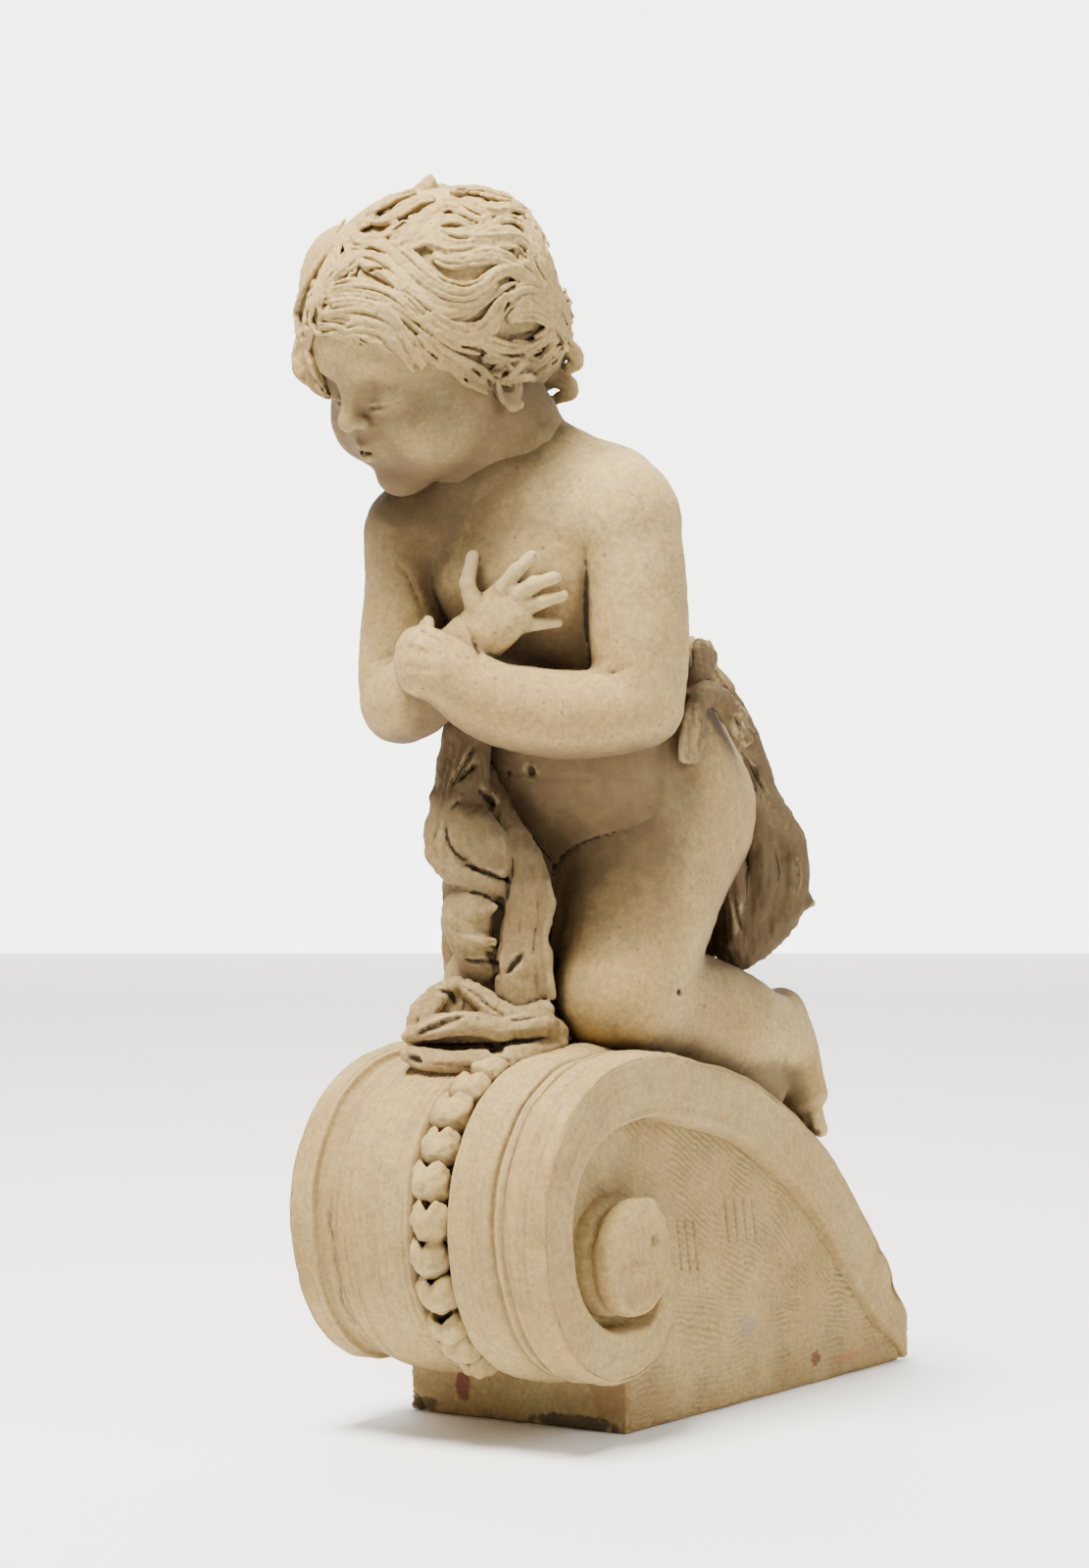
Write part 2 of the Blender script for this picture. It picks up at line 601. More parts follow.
def foot(clay, side):
    """The foot stands on its toes against the console's back, with the sole to the rear."""

    def at(x, y, z):
        return (x if side > 0 else 5 - x, y, z)

    clay.roll([(*at(53, 168, 8), 12.5), (*at(55, 174, -8), 14.5, 13), (*at(58, 180, -30), 14, 9.5)], soft=5)
    clay.ball(at(53, 170, 9), (11, 10, 12), soft=4)
    for k in range(5):
        root = at(65 - 5.2 * k, 180 + 0.5 * k, -36)
        tip = at(66.5 - 5.4 * k, 184.5, -47 + 1.2 * k * (k < 4))
        size = 4.0 if k < 4 else 5.4
        clay.roll([(*root, size), (*tip, size * 0.95)], soft=0.8, steps=2)
        nail = np.array(tip) + (0, -size * 0.85, -1.5)
        clay.ball(nail, (size * 0.55, 1.2, size * 0.5), soft=0.5, cut=True)


# %% Arms and hands
def arms(clay):
    clay.ball((44, 40, 241), (25.5, 25, 25), soft=12)
    clay.roll([(47, 40, 236, 23.5), (51, 40, 208, 22.8), (53.5, 39, 178, 22), (53, 38, 158, 20.5)], soft=3)
    forearm = [
        (52, 37, 157, 20.5),
        (39, 22, 153, 20),
        (24, 8, 153, 19.8),
        (6, -7, 158, 18.5),
        (-5, -17, 166, 16),
        (-11, -22, 172, 14),
    ]
    clay.roll(forearm, soft=2.5)
    clay.ball((-58, 22, 237), (22, 22, 23), soft=10)
    clay.roll([(-59, 21, 234, 21.5), (-58, 16, 205, 19.5), (-57, 10, 176, 19.5), (-54, 7, 158, 18.5)], soft=3)
    forearm = [(-54, 6, 158, 18.5), (-42, -3, 160, 19), (-28, -6, 168, 17.5), (-15, -6, 178, 14.5), (-7, -4, 186, 13)]
    clay.roll(forearm, soft=2.5)


RIGHT_FINGERS = (
    # root, middle and tip in millimetres, and the half width
    ((10, -5, 209), (16, -5, 216.5), (21.5, -1, 223), 3.6),
    ((16, -4, 206), (24, -2, 210.5), (30.5, 4, 213.5), 3.5),
    ((18, -2, 200.5), (26, 1, 203), (32.5, 7, 205.5), 3.4),
    ((16, -1, 193), (23, 2, 193), (29.5, 8, 193.5), 3.2),
    ((-4, -8, 200), (-7.5, -9, 211), (-6.5, -6, 223.5), 3.7),
)
LEFT_STUMPS = (
    ((-18, -27, 187), (-24, -17, 194)),
    ((-25, -26, 183), (-32, -15, 187)),
    ((-29, -24, 176), (-35, -13, 178)),
    ((-29, -23, 167), (-33, -12, 167)),
)


def hands(clay):
    """The right hand lies open on the chest; the left one holds the other forearm and is worn to stumps."""
    palm = [(-8, -4, 185, 12.5, 11), (2, -4, 193, 14, 9.5), (12, -2, 202, 13, 7)]
    clay.roll(palm, across=(-0.45, 0.1, 0.9), soft=2.5)
    for root, middle, tip, size in RIGHT_FINGERS:
        clay.roll([(*root, size + 1.2), (*middle, size * 0.98), (*tip, size - 0.7)], soft=1.0, steps=3)
        clay.ball(np.array(middle) + (-0.4, -0.6, 0.2), size * 0.98, soft=1.2)
    palm = [(-9, -22, 171, 14, 13), (-19, -26, 176, 16, 11), (-28, -22, 178, 14, 9)]
    clay.roll(palm, across=(0, 0, 1), soft=2.5)
    for root, tip in LEFT_STUMPS:
        clay.roll([(*root, 4.6), (*tip, 3.4)], soft=0.8, steps=2)


# %% Creases, as the main view sees them: across and up in millimetres, then the half width
BODY_CREASES = (
    (((-48, 225), (-41, 218), (-36, 208), (-32, 198), (-30, 187)), 0.9),
    (((41, 227), (42, 215), (41.5, 200), (42, 186)), 0.8),
    (((43, 172), (52, 171), (62, 174)), 0.7),
    (((-36, 183), (-46, 180), (-56, 176)), 0.7),
    (((-7, 119), (0, 112), (11, 101), (22, 90), (28, 82)), 1.5),
    (((27, 82), (34, 90), (43, 95), (54, 99)), 1.1),
    (((46, 96), (61, 101), (74, 107)), 0.5),
    (((27, 83), (26, 66), (25, 46), (26, 28)), 1.3),
    (((-3, 128), (20, 124), (44, 124)), 0.6),
    (((79, 30), (84, 26.5), (90, 31)), 0.9),
    (((135, -17), (137, -9), (139, -1)), 0.8),
    (((126, 17), (132, 20), (138, 19)), 0.5),
    (((32, 286), (40, 276), (52, 271)), 0.4),
    (((-9, 186), (-4, 176), (-2, 170)), 0.7),
    (((-16, 206), (-15, 198), (-11, 190)), 0.5),
    (((-32, 191), (-27, 188), (-21, 184)), 0.9),
    (((-38, 184), (-31, 181), (-23, 178)), 0.9),
    (((-39, 174), (-32, 173), (-24, 172)), 0.8),
    (((-34, 163), (-28, 165), (-22, 167)), 0.8),
    (((-12, 193), (-8, 184), (-6, 174), (-8, 164)), 0.7),
    (((6, 207), (10, 203)), 0.5),
    (((12, 201), (15, 199)), 0.5),
)
BODY_PITS = ((16.5, 126.5, 2.8), (6.4, 125.5, 1.8), (84, 27, 1.9), (108, 66, 0.9), (17, 131, 0.8), (30, 230, 0.8))


def body():
    clay = Clay((-90, -50, -66), (98, 206, 300), BODY_STEP)
    for press in (torso, left_leg, right_leg, arms, hands):
        press(clay)
    for path, width in BODY_CREASES:
        clay.score(path, width, soft=1.6)
    for row in BODY_PITS:
        clay.pit(*row)
    return clay


body_clay = body()
print("body grid:", tuple(body_clay.count))

# %% [markdown]
# ## The head
#
# Head and neck are pressed together in one clay, which sinks into the shoulders along the fold at the base of
# the neck. The face is a calm child's face from a drawing book: the eyes lie just below half height, the lids
# are lowered, the nose is short and the cheeks are full. Its places are given forward, left and up from the
# middle of the head, so the whole head can be turned and bowed.

# %% The head's own frame
HEAD = (-35, 5, 325)
HEAD_YAW = -20
HEAD_PITCH = -29
HEAD_ROLL = 8
HEAD_STEP = 0.85


def head_axes():
    """Columns: the way the face looks, the head's own left, and up."""
    turn = Matrix.Rotation(math.radians(HEAD_YAW), 3, "Z")
    turn = turn @ Matrix.Rotation(math.radians(-HEAD_PITCH), 3, "X")
    turn = turn @ Matrix.Rotation(math.radians(HEAD_ROLL), 3, "Y")
    return np.array([turn @ Vector(way) for way in ((0, -1, 0), (1, 0, 0), (0, 0, 1))]).T


AXES = head_axes()


def on_head(forward, left, up):
    return np.array(HEAD) + AXES @ np.array([forward, left, up], float)


# %% Face, ear and neck
def face(clay):
    clay.ball(on_head(-6, 0, 10), (56.5, 49.5, 47.5), AXES, soft=1)
    clay.ball(on_head(16, 0, -22), (38, 41, 40), AXES, soft=12)
    clay.ball(on_head(20, 0, 12), (36, 42, 36), AXES, soft=10)
    clay.ball(on_head(42, 0, -50), (11, 13, 10), AXES, soft=8)
    for side in (-1, 1):
        clay.ball(on_head(31, 22 * side, -29), (20, 19, 19), AXES, soft=10)
        clay.ball(on_head(62, 17 * side, -3), (11, 10, 7), AXES, soft=7, cut=True)
        clay.roll([(*on_head(52, 8 * side, 8), 3), (*on_head(50, 20 * side, 10), 3), (*on_head(42, 30 * side, 6), 2)], soft=6)
        eye(clay, side)
    nose(clay)
    mouth(clay)


EYE = (41.5, 17.5, -5)
EYE_SIZE = 10.2


def eye(clay, side):
    """A lowered lid over the ball of the eye, the slit below it and the lower lid."""
    middle = on_head(EYE[0], EYE[1] * side, EYE[2])
    clay.ball(middle, (EYE_SIZE, EYE_SIZE, 9), AXES, soft=2)

    def line(height, dip, spread, size, out, soft, cut):
        rows = []
        for turn in np.linspace(-1, 1, 9):
            a = math.radians(spread * turn)
            b = math.radians(height - dip * (1 - turn**2))
            way = AXES @ np.array([math.cos(a) * math.cos(b), math.sin(a) * side * math.cos(b), math.sin(b)])
            rows.append((*(clay.outmost(middle, way, 16) + way * out), size * (1.05 - 0.6 * turn**2)))
        clay.roll(rows, soft=soft, steps=3, cut=cut)

    line(-8, 12, 66, 1.0, -0.2, 1.2, False)
    line(-24, 10, 62, 1.1, -0.2, 1.6, False)
    line(-16, 10, 60, 0.75, 0.15, 0.5, True)


def nose(clay):
    clay.roll([(*on_head(50, 0, 6), 4.5), (*on_head(54, 0, -5), 4.3), (*on_head(59, 0, -13.5), 4.8)], soft=5)
    clay.ball(on_head(60, 0, -14.5), 4.9, soft=2)
    for side in (-1, 1):
        clay.ball(on_head(55.5, 5.2 * side, -16.5), (4.6, 3.5, 3.4), AXES, soft=2)
        clay.ball(on_head(58, 3.1 * side, -19.6), (2.5, 1.4, 1.6), AXES, soft=0.8, cut=True)


LIPS = ((-28.7, 8.5, 2.9), (-34.0, 7.5, 3.3))


def mouth(clay):
    clay.ball(on_head(49, 0, -30), (8, 13, 10), AXES, soft=7)
    clay.roll([(*on_head(58.5, 0, -21), 0.9), (*on_head(58.5, 0, -26), 1.2)], soft=2.5, cut=True)
    for lift, width, out in LIPS:
        corner = 50.5
        row = [
            (*on_head(corner, -width, lift - 0.6), 1.3),
            (*on_head(55.2, -width * 0.4, lift + 0.3), out * 0.9),
            (*on_head(55.6, 0, lift), out),
            (*on_head(55.2, width * 0.4, lift + 0.3), out * 0.9),
            (*on_head(corner, width, lift - 0.6), 1.3),
        ]
        clay.roll(row, soft=1.4)
    slit = [(*on_head(50, -9, -31.8), 0.6), (*on_head(58.2, 0, -31.3), 0.8), (*on_head(50, 9, -31.8), 0.6)]
    clay.roll(slit, soft=0.8, cut=True)
    for side in (-1, 1):
        clay.ball(on_head(51.5, 9.2 * side, -31.6), 1.7, soft=2, cut=True)
    clay.roll([(*on_head(54, -6, -39.5), 1.5), (*on_head(56, 0, -40), 2.0), (*on_head(54, 6, -39.5), 1.5)], soft=4, cut=True)


def ear(clay, side):
    turns = [math.radians(-95 + 36 * k) for k in range(8)]
    rim = []
    for a in turns:
        rim.append((*on_head(2 + 6 * math.cos(a), (46.5 - 2.5 * math.cos(a)) * side, -22 + 9.5 * math.sin(a)), 2.1))
    clay.ball(on_head(1, 43.5 * side, -22), (6, 4.5, 9.5), AXES, soft=3)
    clay.roll(rim, soft=1.0, steps=3)
    clay.ball(on_head(4, 48.5 * side, -20), (3.2, 5, 4.6), AXES, soft=1.0, cut=True)
    clay.roll([(*on_head(-1, 46.5 * side, -14), 1.3), (*on_head(-2, 47 * side, -22), 1.4), (*on_head(2, 46.5 * side, -28), 1.3)], soft=1.2)
    clay.ball(on_head(4, 45.5 * side, -30.5), (3.3, 2.6, 3.2), AXES, soft=2)


def head():
    clay = Clay((-100, -60, 216), (42, 92, 386), HEAD_STEP)
    clay.roll([(-10, 44, 246, 33), (-17, 33, 280, 28.5), (-30, 18, 308, 28)], soft=2)
    face(clay)
    ear(clay, 1)
    ear(clay, -1)
    return clay


head_clay = head()
print("head grid:", tuple(head_clay.count))

# %% [markdown]
# ## Hair
#
# Short, tousled locks sweep from the crown towards the brow in long S curves. A lock is a flattened roll that
# carries a bundle of finer strands, as a toothed tool leaves them. The locks on the side that is seen are laid
# one by one, by where the main view sees them; each point is then dropped onto the scalp. The rest are laid
# by a loop in keeping.

# %% Locks
HAIR_STEP = 0.55
SCALP_MIDDLE = np.array([-4, 0, 10.5])
SCALP = np.array([55, 49.5, 47])
STRAND_WIDTH = 2.2


def on_scalp(lon, lat, lift):
    """A point over the skull. lon turns from the face to the putto's left, lat rises to the crown, in degrees."""
    a, b = math.radians(lon), math.radians(lat)
    out = np.array([math.cos(b) * math.cos(a), math.cos(b) * math.sin(a), math.sin(b)])
    return on_head(*(SCALP_MIDDLE + out * (SCALP + lift)))


def view_depths(clays, step=1.5):
    """How far beyond the head's middle the main view meets the clays, at each millimetre across and up."""
    across, up = np.meshgrid(np.arange(-VIEW_HALF, VIEW_HALF + 1.0), np.arange(-VIEW_HALF, VIEW_HALF + 1.0), indexing="ij")
    depth = np.full(across.shape, np.nan)
    before = np.full(across.shape, Clay.FAR)
    for away in np.arange(-VIEW_HALF, VIEW_HALF, step):
        spots = np.stack([across * 0 + axis for axis in seen(across, away, up)], -1) + HEAD
        here = np.min([clay.value(spots.reshape(-1, 3)) for clay in clays], axis=0).reshape(across.shape)
        met = (here < 0) & np.isnan(depth)
        depth[met] = away + step * (here / (before - here))[met]
        before = here
    return depth


VIEW_HALF = 90


def under_view(across, up, lift):
    """The point over the hair's mass or the skin where the main view meets it, raised by half of lift."""
    for _ in range(60):
        a, u = int(round(across + VIEW_HALF)), int(round(up + VIEW_HALF))
        if not np.isnan(DEPTHS[a, u]):
            break
        across, up = across * 0.97 - 0.1, up * 0.97 + 0.3
    away = np.nan_to_num(DEPTHS, nan=60.0)
    lean = np.array([away[a + 2, u] - away[a - 2, u], away[a, u + 2] - away[a, u - 2]]) / 4
    lean = np.clip(lean, -1.6, 1.6)
    out = np.array([lean[0], -1.0, lean[1]])
    out = out / np.linalg.norm(out) * 0.5 * lift
    return np.array(HEAD) + seen(across + out[0], away[a, u] + out[1], up + out[2])


def lock(clay, width, places, seed, thick=0.55):
    """A lock along places over the scalp: a flat core that carries a bundle of strands."""
    draw = np.random.default_rng(seed)
    middle = on_head(*SCALP_MIDDLE)
    centre = smooth_rows(places, 5)
    share = np.linspace(0, 1, len(centre))
    size = width * (0.60 + 0.45 * np.sin(np.pi * np.minimum(1, share * 0.9 + 0.12)) - 0.42 * share**2)
    out = centre - middle
    out /= np.linalg.norm(out, axis=1)[:, None]
    along = np.gradient(centre, axis=0)
    along /= np.linalg.norm(along, axis=1)[:, None] + 1e-9
    beside = np.cross(out, along)
    sunk = centre - out * (size * thick)[:, None]
    clay.roll([(*c, 0.86 * s, s * thick) for c, s in zip(sunk, size)], across=beside.mean(axis=0), soft=1.0, steps=1)
    count = max(3, int(round(2 * width / STRAND_WIDTH)))
    for k in range(count):
        side = (k + 0.5) / count * 2 - 1 + draw.uniform(-0.05, 0.05)
        waves = 0.5 * np.sin(draw.uniform(0, 6) + share * draw.uniform(3, 8))
        lift = size * thick * (math.sqrt(max(0.05, 1 - side**2)) - 1) + draw.uniform(-0.35, 0.45)
        rows = centre + beside * (side * size + waves)[:, None] + out * (lift + 0.1)[:, None]
        begin = int(draw.uniform(0, 0.18) * len(rows))
        end = len(rows) - int(draw.uniform(0, 0.18) * len(rows))
        fat = size / count * draw.uniform(0.95, 1.15)
        clay.roll([(*r, f) for r, f in zip(rows[begin:end], fat[begin:end])], soft=0.3, steps=1)


# %% The locks that the main view sees, right of and above the head's middle in millimetres
SEEN_LOCKS = (
    # half width, rise over the skull, path
    (5.0, 4.5, ((-47, 13), (-39, 14.5), (-30, 14), (-20, 11), (-11, 5), (-3, -1))),
    (5.2, 4.0, ((-48, 5), (-40, 6), (-29, 5), (-19, 1), (-11, -6), (-6, -16))),
    (3.6, 3.5, ((-39, -3), (-30, -2), (-21, -5), (-14, -11), (-8, -18))),
    (2.0, 3.0, ((-49, 0), (-42, -1), (-37, -4), (-33, -8))),
    (4.5, 5.0, ((-45, 25), (-37, 28), (-28, 27.5), (-20, 23.5), (-13, 16.5), (-8, 10))),
    (4.5, 5.5, ((-39, 46), (-37, 40), (-29, 36.5), (-21, 38), (-15, 42))),
    (5.0, 7.5, ((-16, 34), (-10, 37), (-5, 42), (-1, 47), (5, 51), (11, 50), (16.5, 46))),
    (4.0, 6.0, ((-13, 31), (-3, 37), (3, 42), (9, 45), (16, 42))),
    (6.0, 6.5, ((-24, 35), (-16, 31), (-10, 25), (-4, 18.5), (4, 13.5), (14, 12.5), (22, 16), (28, 22), (36, 24), (42, 20))),
    (5.0, 5.0, ((-16, 16), (-8, 11.5), (-2, 6.5), (4, 3.5), (13, 4.5), (20, 7.5), (27, 13))),
    (5.8, 6.5, ((-2, 1), (4, -3.5), (13, -6.5), (21, -4.5), (26.5, 1.5), (29, 8.5), (33, 12.5))),
    (5.0, 7.0, ((18, 37), (28, 38.5), (36, 39), (41, 35), (43, 28))),
    (5.0, 6.5, ((16, 28), (24, 29.5), (32, 29), (38, 26))),
    (4.5, 6.5, ((10, 60), (18, 61.5), (26, 60), (33, 58), (38, 51))),
    (4.5, 6.5, ((16, 54), (24, 50.5), (31, 51), (35, 54))),
    (5.2, 6.5, ((34, 4), (40, 7.5), (46, 7.5), (52, 3), (55, -5))),
    (5.0, 6.0, ((34, 13), (41, 15.5), (48, 13.5), (53, 8.5), (58, 0))),
    (4.0, 6.0, ((22, -14), (29, -11), (36, -7), (44, -7.5))),
    (5.0, 5.0, ((-8, 47), (-3, 40), (3, 35), (10, 33), (18, 34), (24, 38))),
    (4.6, 6.5, ((1, 45), (7, 39.5), (14, 38), (21, 41), (25, 46))),
    (4.2, 5.0, ((2, 29), (9, 27), (17, 28), (23, 32))),
    (4.6, 8.5, ((20, -6), (28, -9), (36, -9), (43, -6), (50, 0))),
    (4.2, 8.5, ((30, -14), (36, -16), (43, -14), (49, -9), (53, -3))),
    (3.6, 7.5, ((28, -17), (33, -20), (37, -19), (41, -15))),
    (3.2, 4.5, ((-2, -6), (5, -12), (13, -16), (20, -19), (23, -23))),
    (2.6, 4.0, ((3, -15), (10, -20), (16, -25.5), (20, -27))),
    (4.8, 5.5, ((-30, 53), (-37, 47), (-43, 39), (-49, 32), (-56, 22), (-61, 12), (-62, 4), (-59, -3))),
    (4.2, 5.5, ((-38, 39), (-44, 32), (-47, 25), (-50, 16), (-51, 9), (-52, 3))),
    (4.4, 6.0, ((-22, 56), (-30, 50), (-36, 45), (-41, 38), (-40, 33))),
    (4.4, 6.0, ((-30, 30), (-36, 25), (-43, 20), (-47, 12), (-48, 6))),
    (4.4, 7.0, ((-8, 60), (-16, 57), (-24, 53), (-31, 47), (-36, 40))),
    (4.4, 7.0, ((0, 56), (-8, 53), (-15, 48), (-22, 45), (-28, 46))),
    (4.6, 6.5, ((38, 48), (43, 40), (47, 31), (51, 22), (56, 13), (59, 6))),
    (4.0, 6.0, ((44, 34), (47, 27), (52, 19), (54, 14))),
)
HANGING_LOCKS = (
    (4.6, 3.5, ((-59, 1), (-62, -8), (-61, -17), (-58, -25), (-51, -29), (-46.5, -28))),
    (3.2, 4.5, ((-52, 0), (-55, -8), (-53, -16), (-49, -22), (-46.5, -27))),
)
HAIR_MASSES = (
    # across, away, up and the three half sizes, in the main view
    (-40, 14, 21, (22, 26, 30)),
    (-50, 12, 1, (11, 15, 19)),
    (-56, 11, -12, (6.5, 9, 12)),
    (34, 26, 20, (22, 28, 32)),
    (24, 18, 36, (22, 26, 25)),
    (-6, 12, 37, (24, 26, 23)),
    (50, 33, -9, (9, 9, 15)),
)
VIEW_AXES = np.array([seen(1, 0, 0), seen(0, 1, 0), (0, 0, 1)]).T
UNDERCUTS = (
    (((4, 43), (9, 43.5), (14, 43)), 1.5),
    (((-28, 23), (-24.5, 24), (-20, 23.5)), 1.3),
    (((35, 34), (39, 33), (42, 30)), 1.6),
    (((29, 18), (33, 20), (37, 20)), 1.4),
    (((34, -4), (40, -3), (45, -1)), 1.0),
    (((31, -12.5), (36, -13), (41, -12)), 1.0),
    (((31, -22), (33.5, -20)), 1.6),
    (((13, -10), (19, -11), (24, -14)), 1.2),
    (((18, -19), (21.5, -22)), 1.1),
    (((14, -23), (16, -25)), 0.9),
    (((55, 0), (57, -4), (58, -8)), 1.6),
)


def curls(clay):
    """The curls that stand off the head behind the ear and at the temple, and the broken tuft on the crown."""

    def strand(size, rows, soft=1.0):
        clay.roll([(*(np.array(HEAD) + np.array(seen(*row[:3]))), size * row[3]) for row in rows], soft=soft)

    def bundle(size, rows, spread):
        """A curl from strands side by side. A row is across, away, up and a share of the size."""
        strand(size, rows)
        for k, turn in enumerate(np.radians((20, 75, 130, 185, 250, 310))):
            shift = (size * spread * math.cos(turn), -size * spread * abs(math.sin(turn)), size * spread * math.sin(turn))
            strand(size * 0.42, [(*np.add(row[:3], np.multiply(shift, row[3])), row[3]) for row in rows], soft=0.4)

    bundle(4.6, [(46, 34, -1, 1), (55, 32, -2, 1), (62, 31, -5, 0.9), (64.5, 31, -10.5, 0.8), (60.5, 30, -14, 0.6)], 0.62)
    bundle(4.6, [(45, 30, -13, 1), (53, 31, -17, 1), (60, 31, -20, 0.9), (62, 31, -24.5, 0.75), (56.5, 30, -27, 0.6)], 0.62)
    bundle(4.2, [(42, 26, -15, 1), (45, 28, -23, 1), (50, 29, -28, 0.8), (54, 30, -28.5, 0.5)], 0.6)
    bundle(5.0, [(52, 38, 14, 1), (57, 36, 6, 1), (58.5, 34, -2, 0.9), (55, 32, -9, 0.8)], 0.6)
    bundle(5.4, [(-55, 6, 4, 1), (-58, 6, -5, 1), (-57, 7, -14, 0.95), (-53, 8, -22, 0.85), (-48.5, 9, -26, 0.6)], 0.6)
    bundle(4.8, [(-50, 8, 6, 1), (-51.5, 8, -3, 1), (-51, 9, -12, 0.95), (-48.5, 10, -20, 0.8)], 0.6)
    strand(6.0, [(-13, 8, 56, 1), (-7, 8, 61, 1), (-3, 7, 67, 0.7), (-2, 7, 71, 0.3)])
    strand(4.5, [(-4, 9, 63, 1), (3, 10, 64.5, 1), (11, 12, 62.5, 0.9), (17, 14, 61, 0.6)])
    strand(5.0, [(18, 16, 59, 1), (26, 17, 62, 1), (33, 18, 61, 0.8), (37, 18, 55, 0.6)])
    strand(3.6, [(-30, 8, 50, 1), (-24, 8, 55, 1), (-21, 8, 57, 0.6)])


def flowing(clay, strands=330):
    """Fine strands all over the side that is seen, which follow the nearest locks."""
    places, ways = [], []
    for _, lift, path in SEEN_LOCKS:
        rows = smooth_rows([(*spot, lift) for spot in path], 4)
        places.append(rows)
        ways.append(np.gradient(rows[:, :2], axis=0))
    places, ways = np.vstack(places), np.vstack(ways)
    ways /= np.linalg.norm(ways, axis=1)[:, None] + 1e-9
    draw = np.random.default_rng(77)
    for k in range(strands):
        at = places[draw.integers(len(places)), :2] + draw.normal(0, 3.2, 2)
        rise = draw.uniform(-1.8, 1.2)
        rows = []
        for _ in range(draw.integers(7, 13)):
            weight = np.exp(-((places[:, :2] - at) ** 2).sum(axis=1) / 18.0) + 1e-12
            way = (ways * weight[:, None]).sum(axis=0)
            lift = (places[:, 2] * weight).sum() / weight.sum()
            reach = np.linalg.norm(way)
            if weight.sum() < 0.9 or reach < 1e-6:
                break
            rows.append(under_view(*at, lift * 0.8 + rise))
            at = at + way / reach * 1.9
        if len(rows) > 3:
            share = np.linspace(0, 1, len(rows))
            fat = draw.uniform(0.8, 1.35) * (0.55 + 0.6 * np.sin(np.pi * (share * 0.85 + 0.1)))
            clay.roll([(*r, f) for r, f in zip(rows, fat)], soft=0.5, steps=2)


def back_hair(clay):
    """Rows of locks over the side and back that aren't seen, in keeping with the others."""
    seed = 500
    for row, (lat, count, fall) in enumerate(((66, 7, 26), (44, 10, 26), (22, 11, 26), (0, 11, 24), (-20, 9, 16))):
        for k in range(count):
            seed += 1
            lon = 118 + 216 * (k + 0.5 * (row % 2)) / count
            sway = 15 * math.cos(2.4 * k + 1.3 * row)
            rise = 3.4 + 1.2 * math.sin(1.7 * seed)
            stops = [on_scalp(lon + sway * math.sin(0.8 * s), lat - fall * s / 4, rise) for s in range(6)]
            lock(clay, 6.2 + math.sin(seed), stops, seed)


def hair_mass(clay):
    clay.ball(on_head(-9, 0, 13), (55.5, 51, 48), AXES, soft=2)
    clay.ball(on_head(-20, 0, 3), (42, 48, 46), AXES, soft=4)
    clay.ball(on_head(-30, 0, -12), (30, 43, 32), AXES, soft=6)
    for across, away, up, radii in HAIR_MASSES:
        clay.ball(np.array(HEAD) + np.array(seen(across, away, up)), radii, VIEW_AXES, soft=5)
    return clay


DEPTHS = view_depths([head_clay, hair_mass(Clay((-112, -62, 250), (44, 90, 402), 1.6))])


def hair():
    clay = Clay((-106, -60, 258), (44, 86, 400), HAIR_STEP)
    hair_mass(clay)
    back_hair(clay)
    flowing(clay)
    seed = 0
    for width, lift, path in SEEN_LOCKS + HANGING_LOCKS:
        seed += 1
        lock(clay, width, [under_view(*place, lift) for place in path], seed)
    curls(clay)
    for path, width in UNDERCUTS:
        clay.score([(HEAD_ACROSS + a, HEAD[2] + u) for a, u in path], width, sink=0.8, soft=0.5)
    return clay


HEAD_ACROSS = HEAD[0] * math.cos(math.radians(MAIN_VIEW)) + HEAD[1] * math.sin(math.radians(MAIN_VIEW))
hair_clay = hair()
print("hair grid:", tuple(hair_clay.count), "locks that are seen:", len(SEEN_LOCKS) + len(HANGING_LOCKS))

# %% [markdown]
# ## Cloth
#
# The cloth falls over the right thigh, piles up on the console and runs round the hips to a knot. It is
# thick, hand-modelled clay rather than a thin sheet, so it is pressed from rolls as the body is, and then
# scored: deep lines where a fold turns under, and shallow ones along the folds.

# %% The cloth in front
CLOTH_STEP = 0.95


def fold(clay, *rows, soft=2.0, across=(0.85, 0.5, 0), cut=False):
    """A fold through rows of across, away, up, half width and half thickness, as the main view sees them."""
    clay.roll([(*seen(*row[:3]), *row[3:]) for row in rows], across=across, soft=soft, cut=cut)


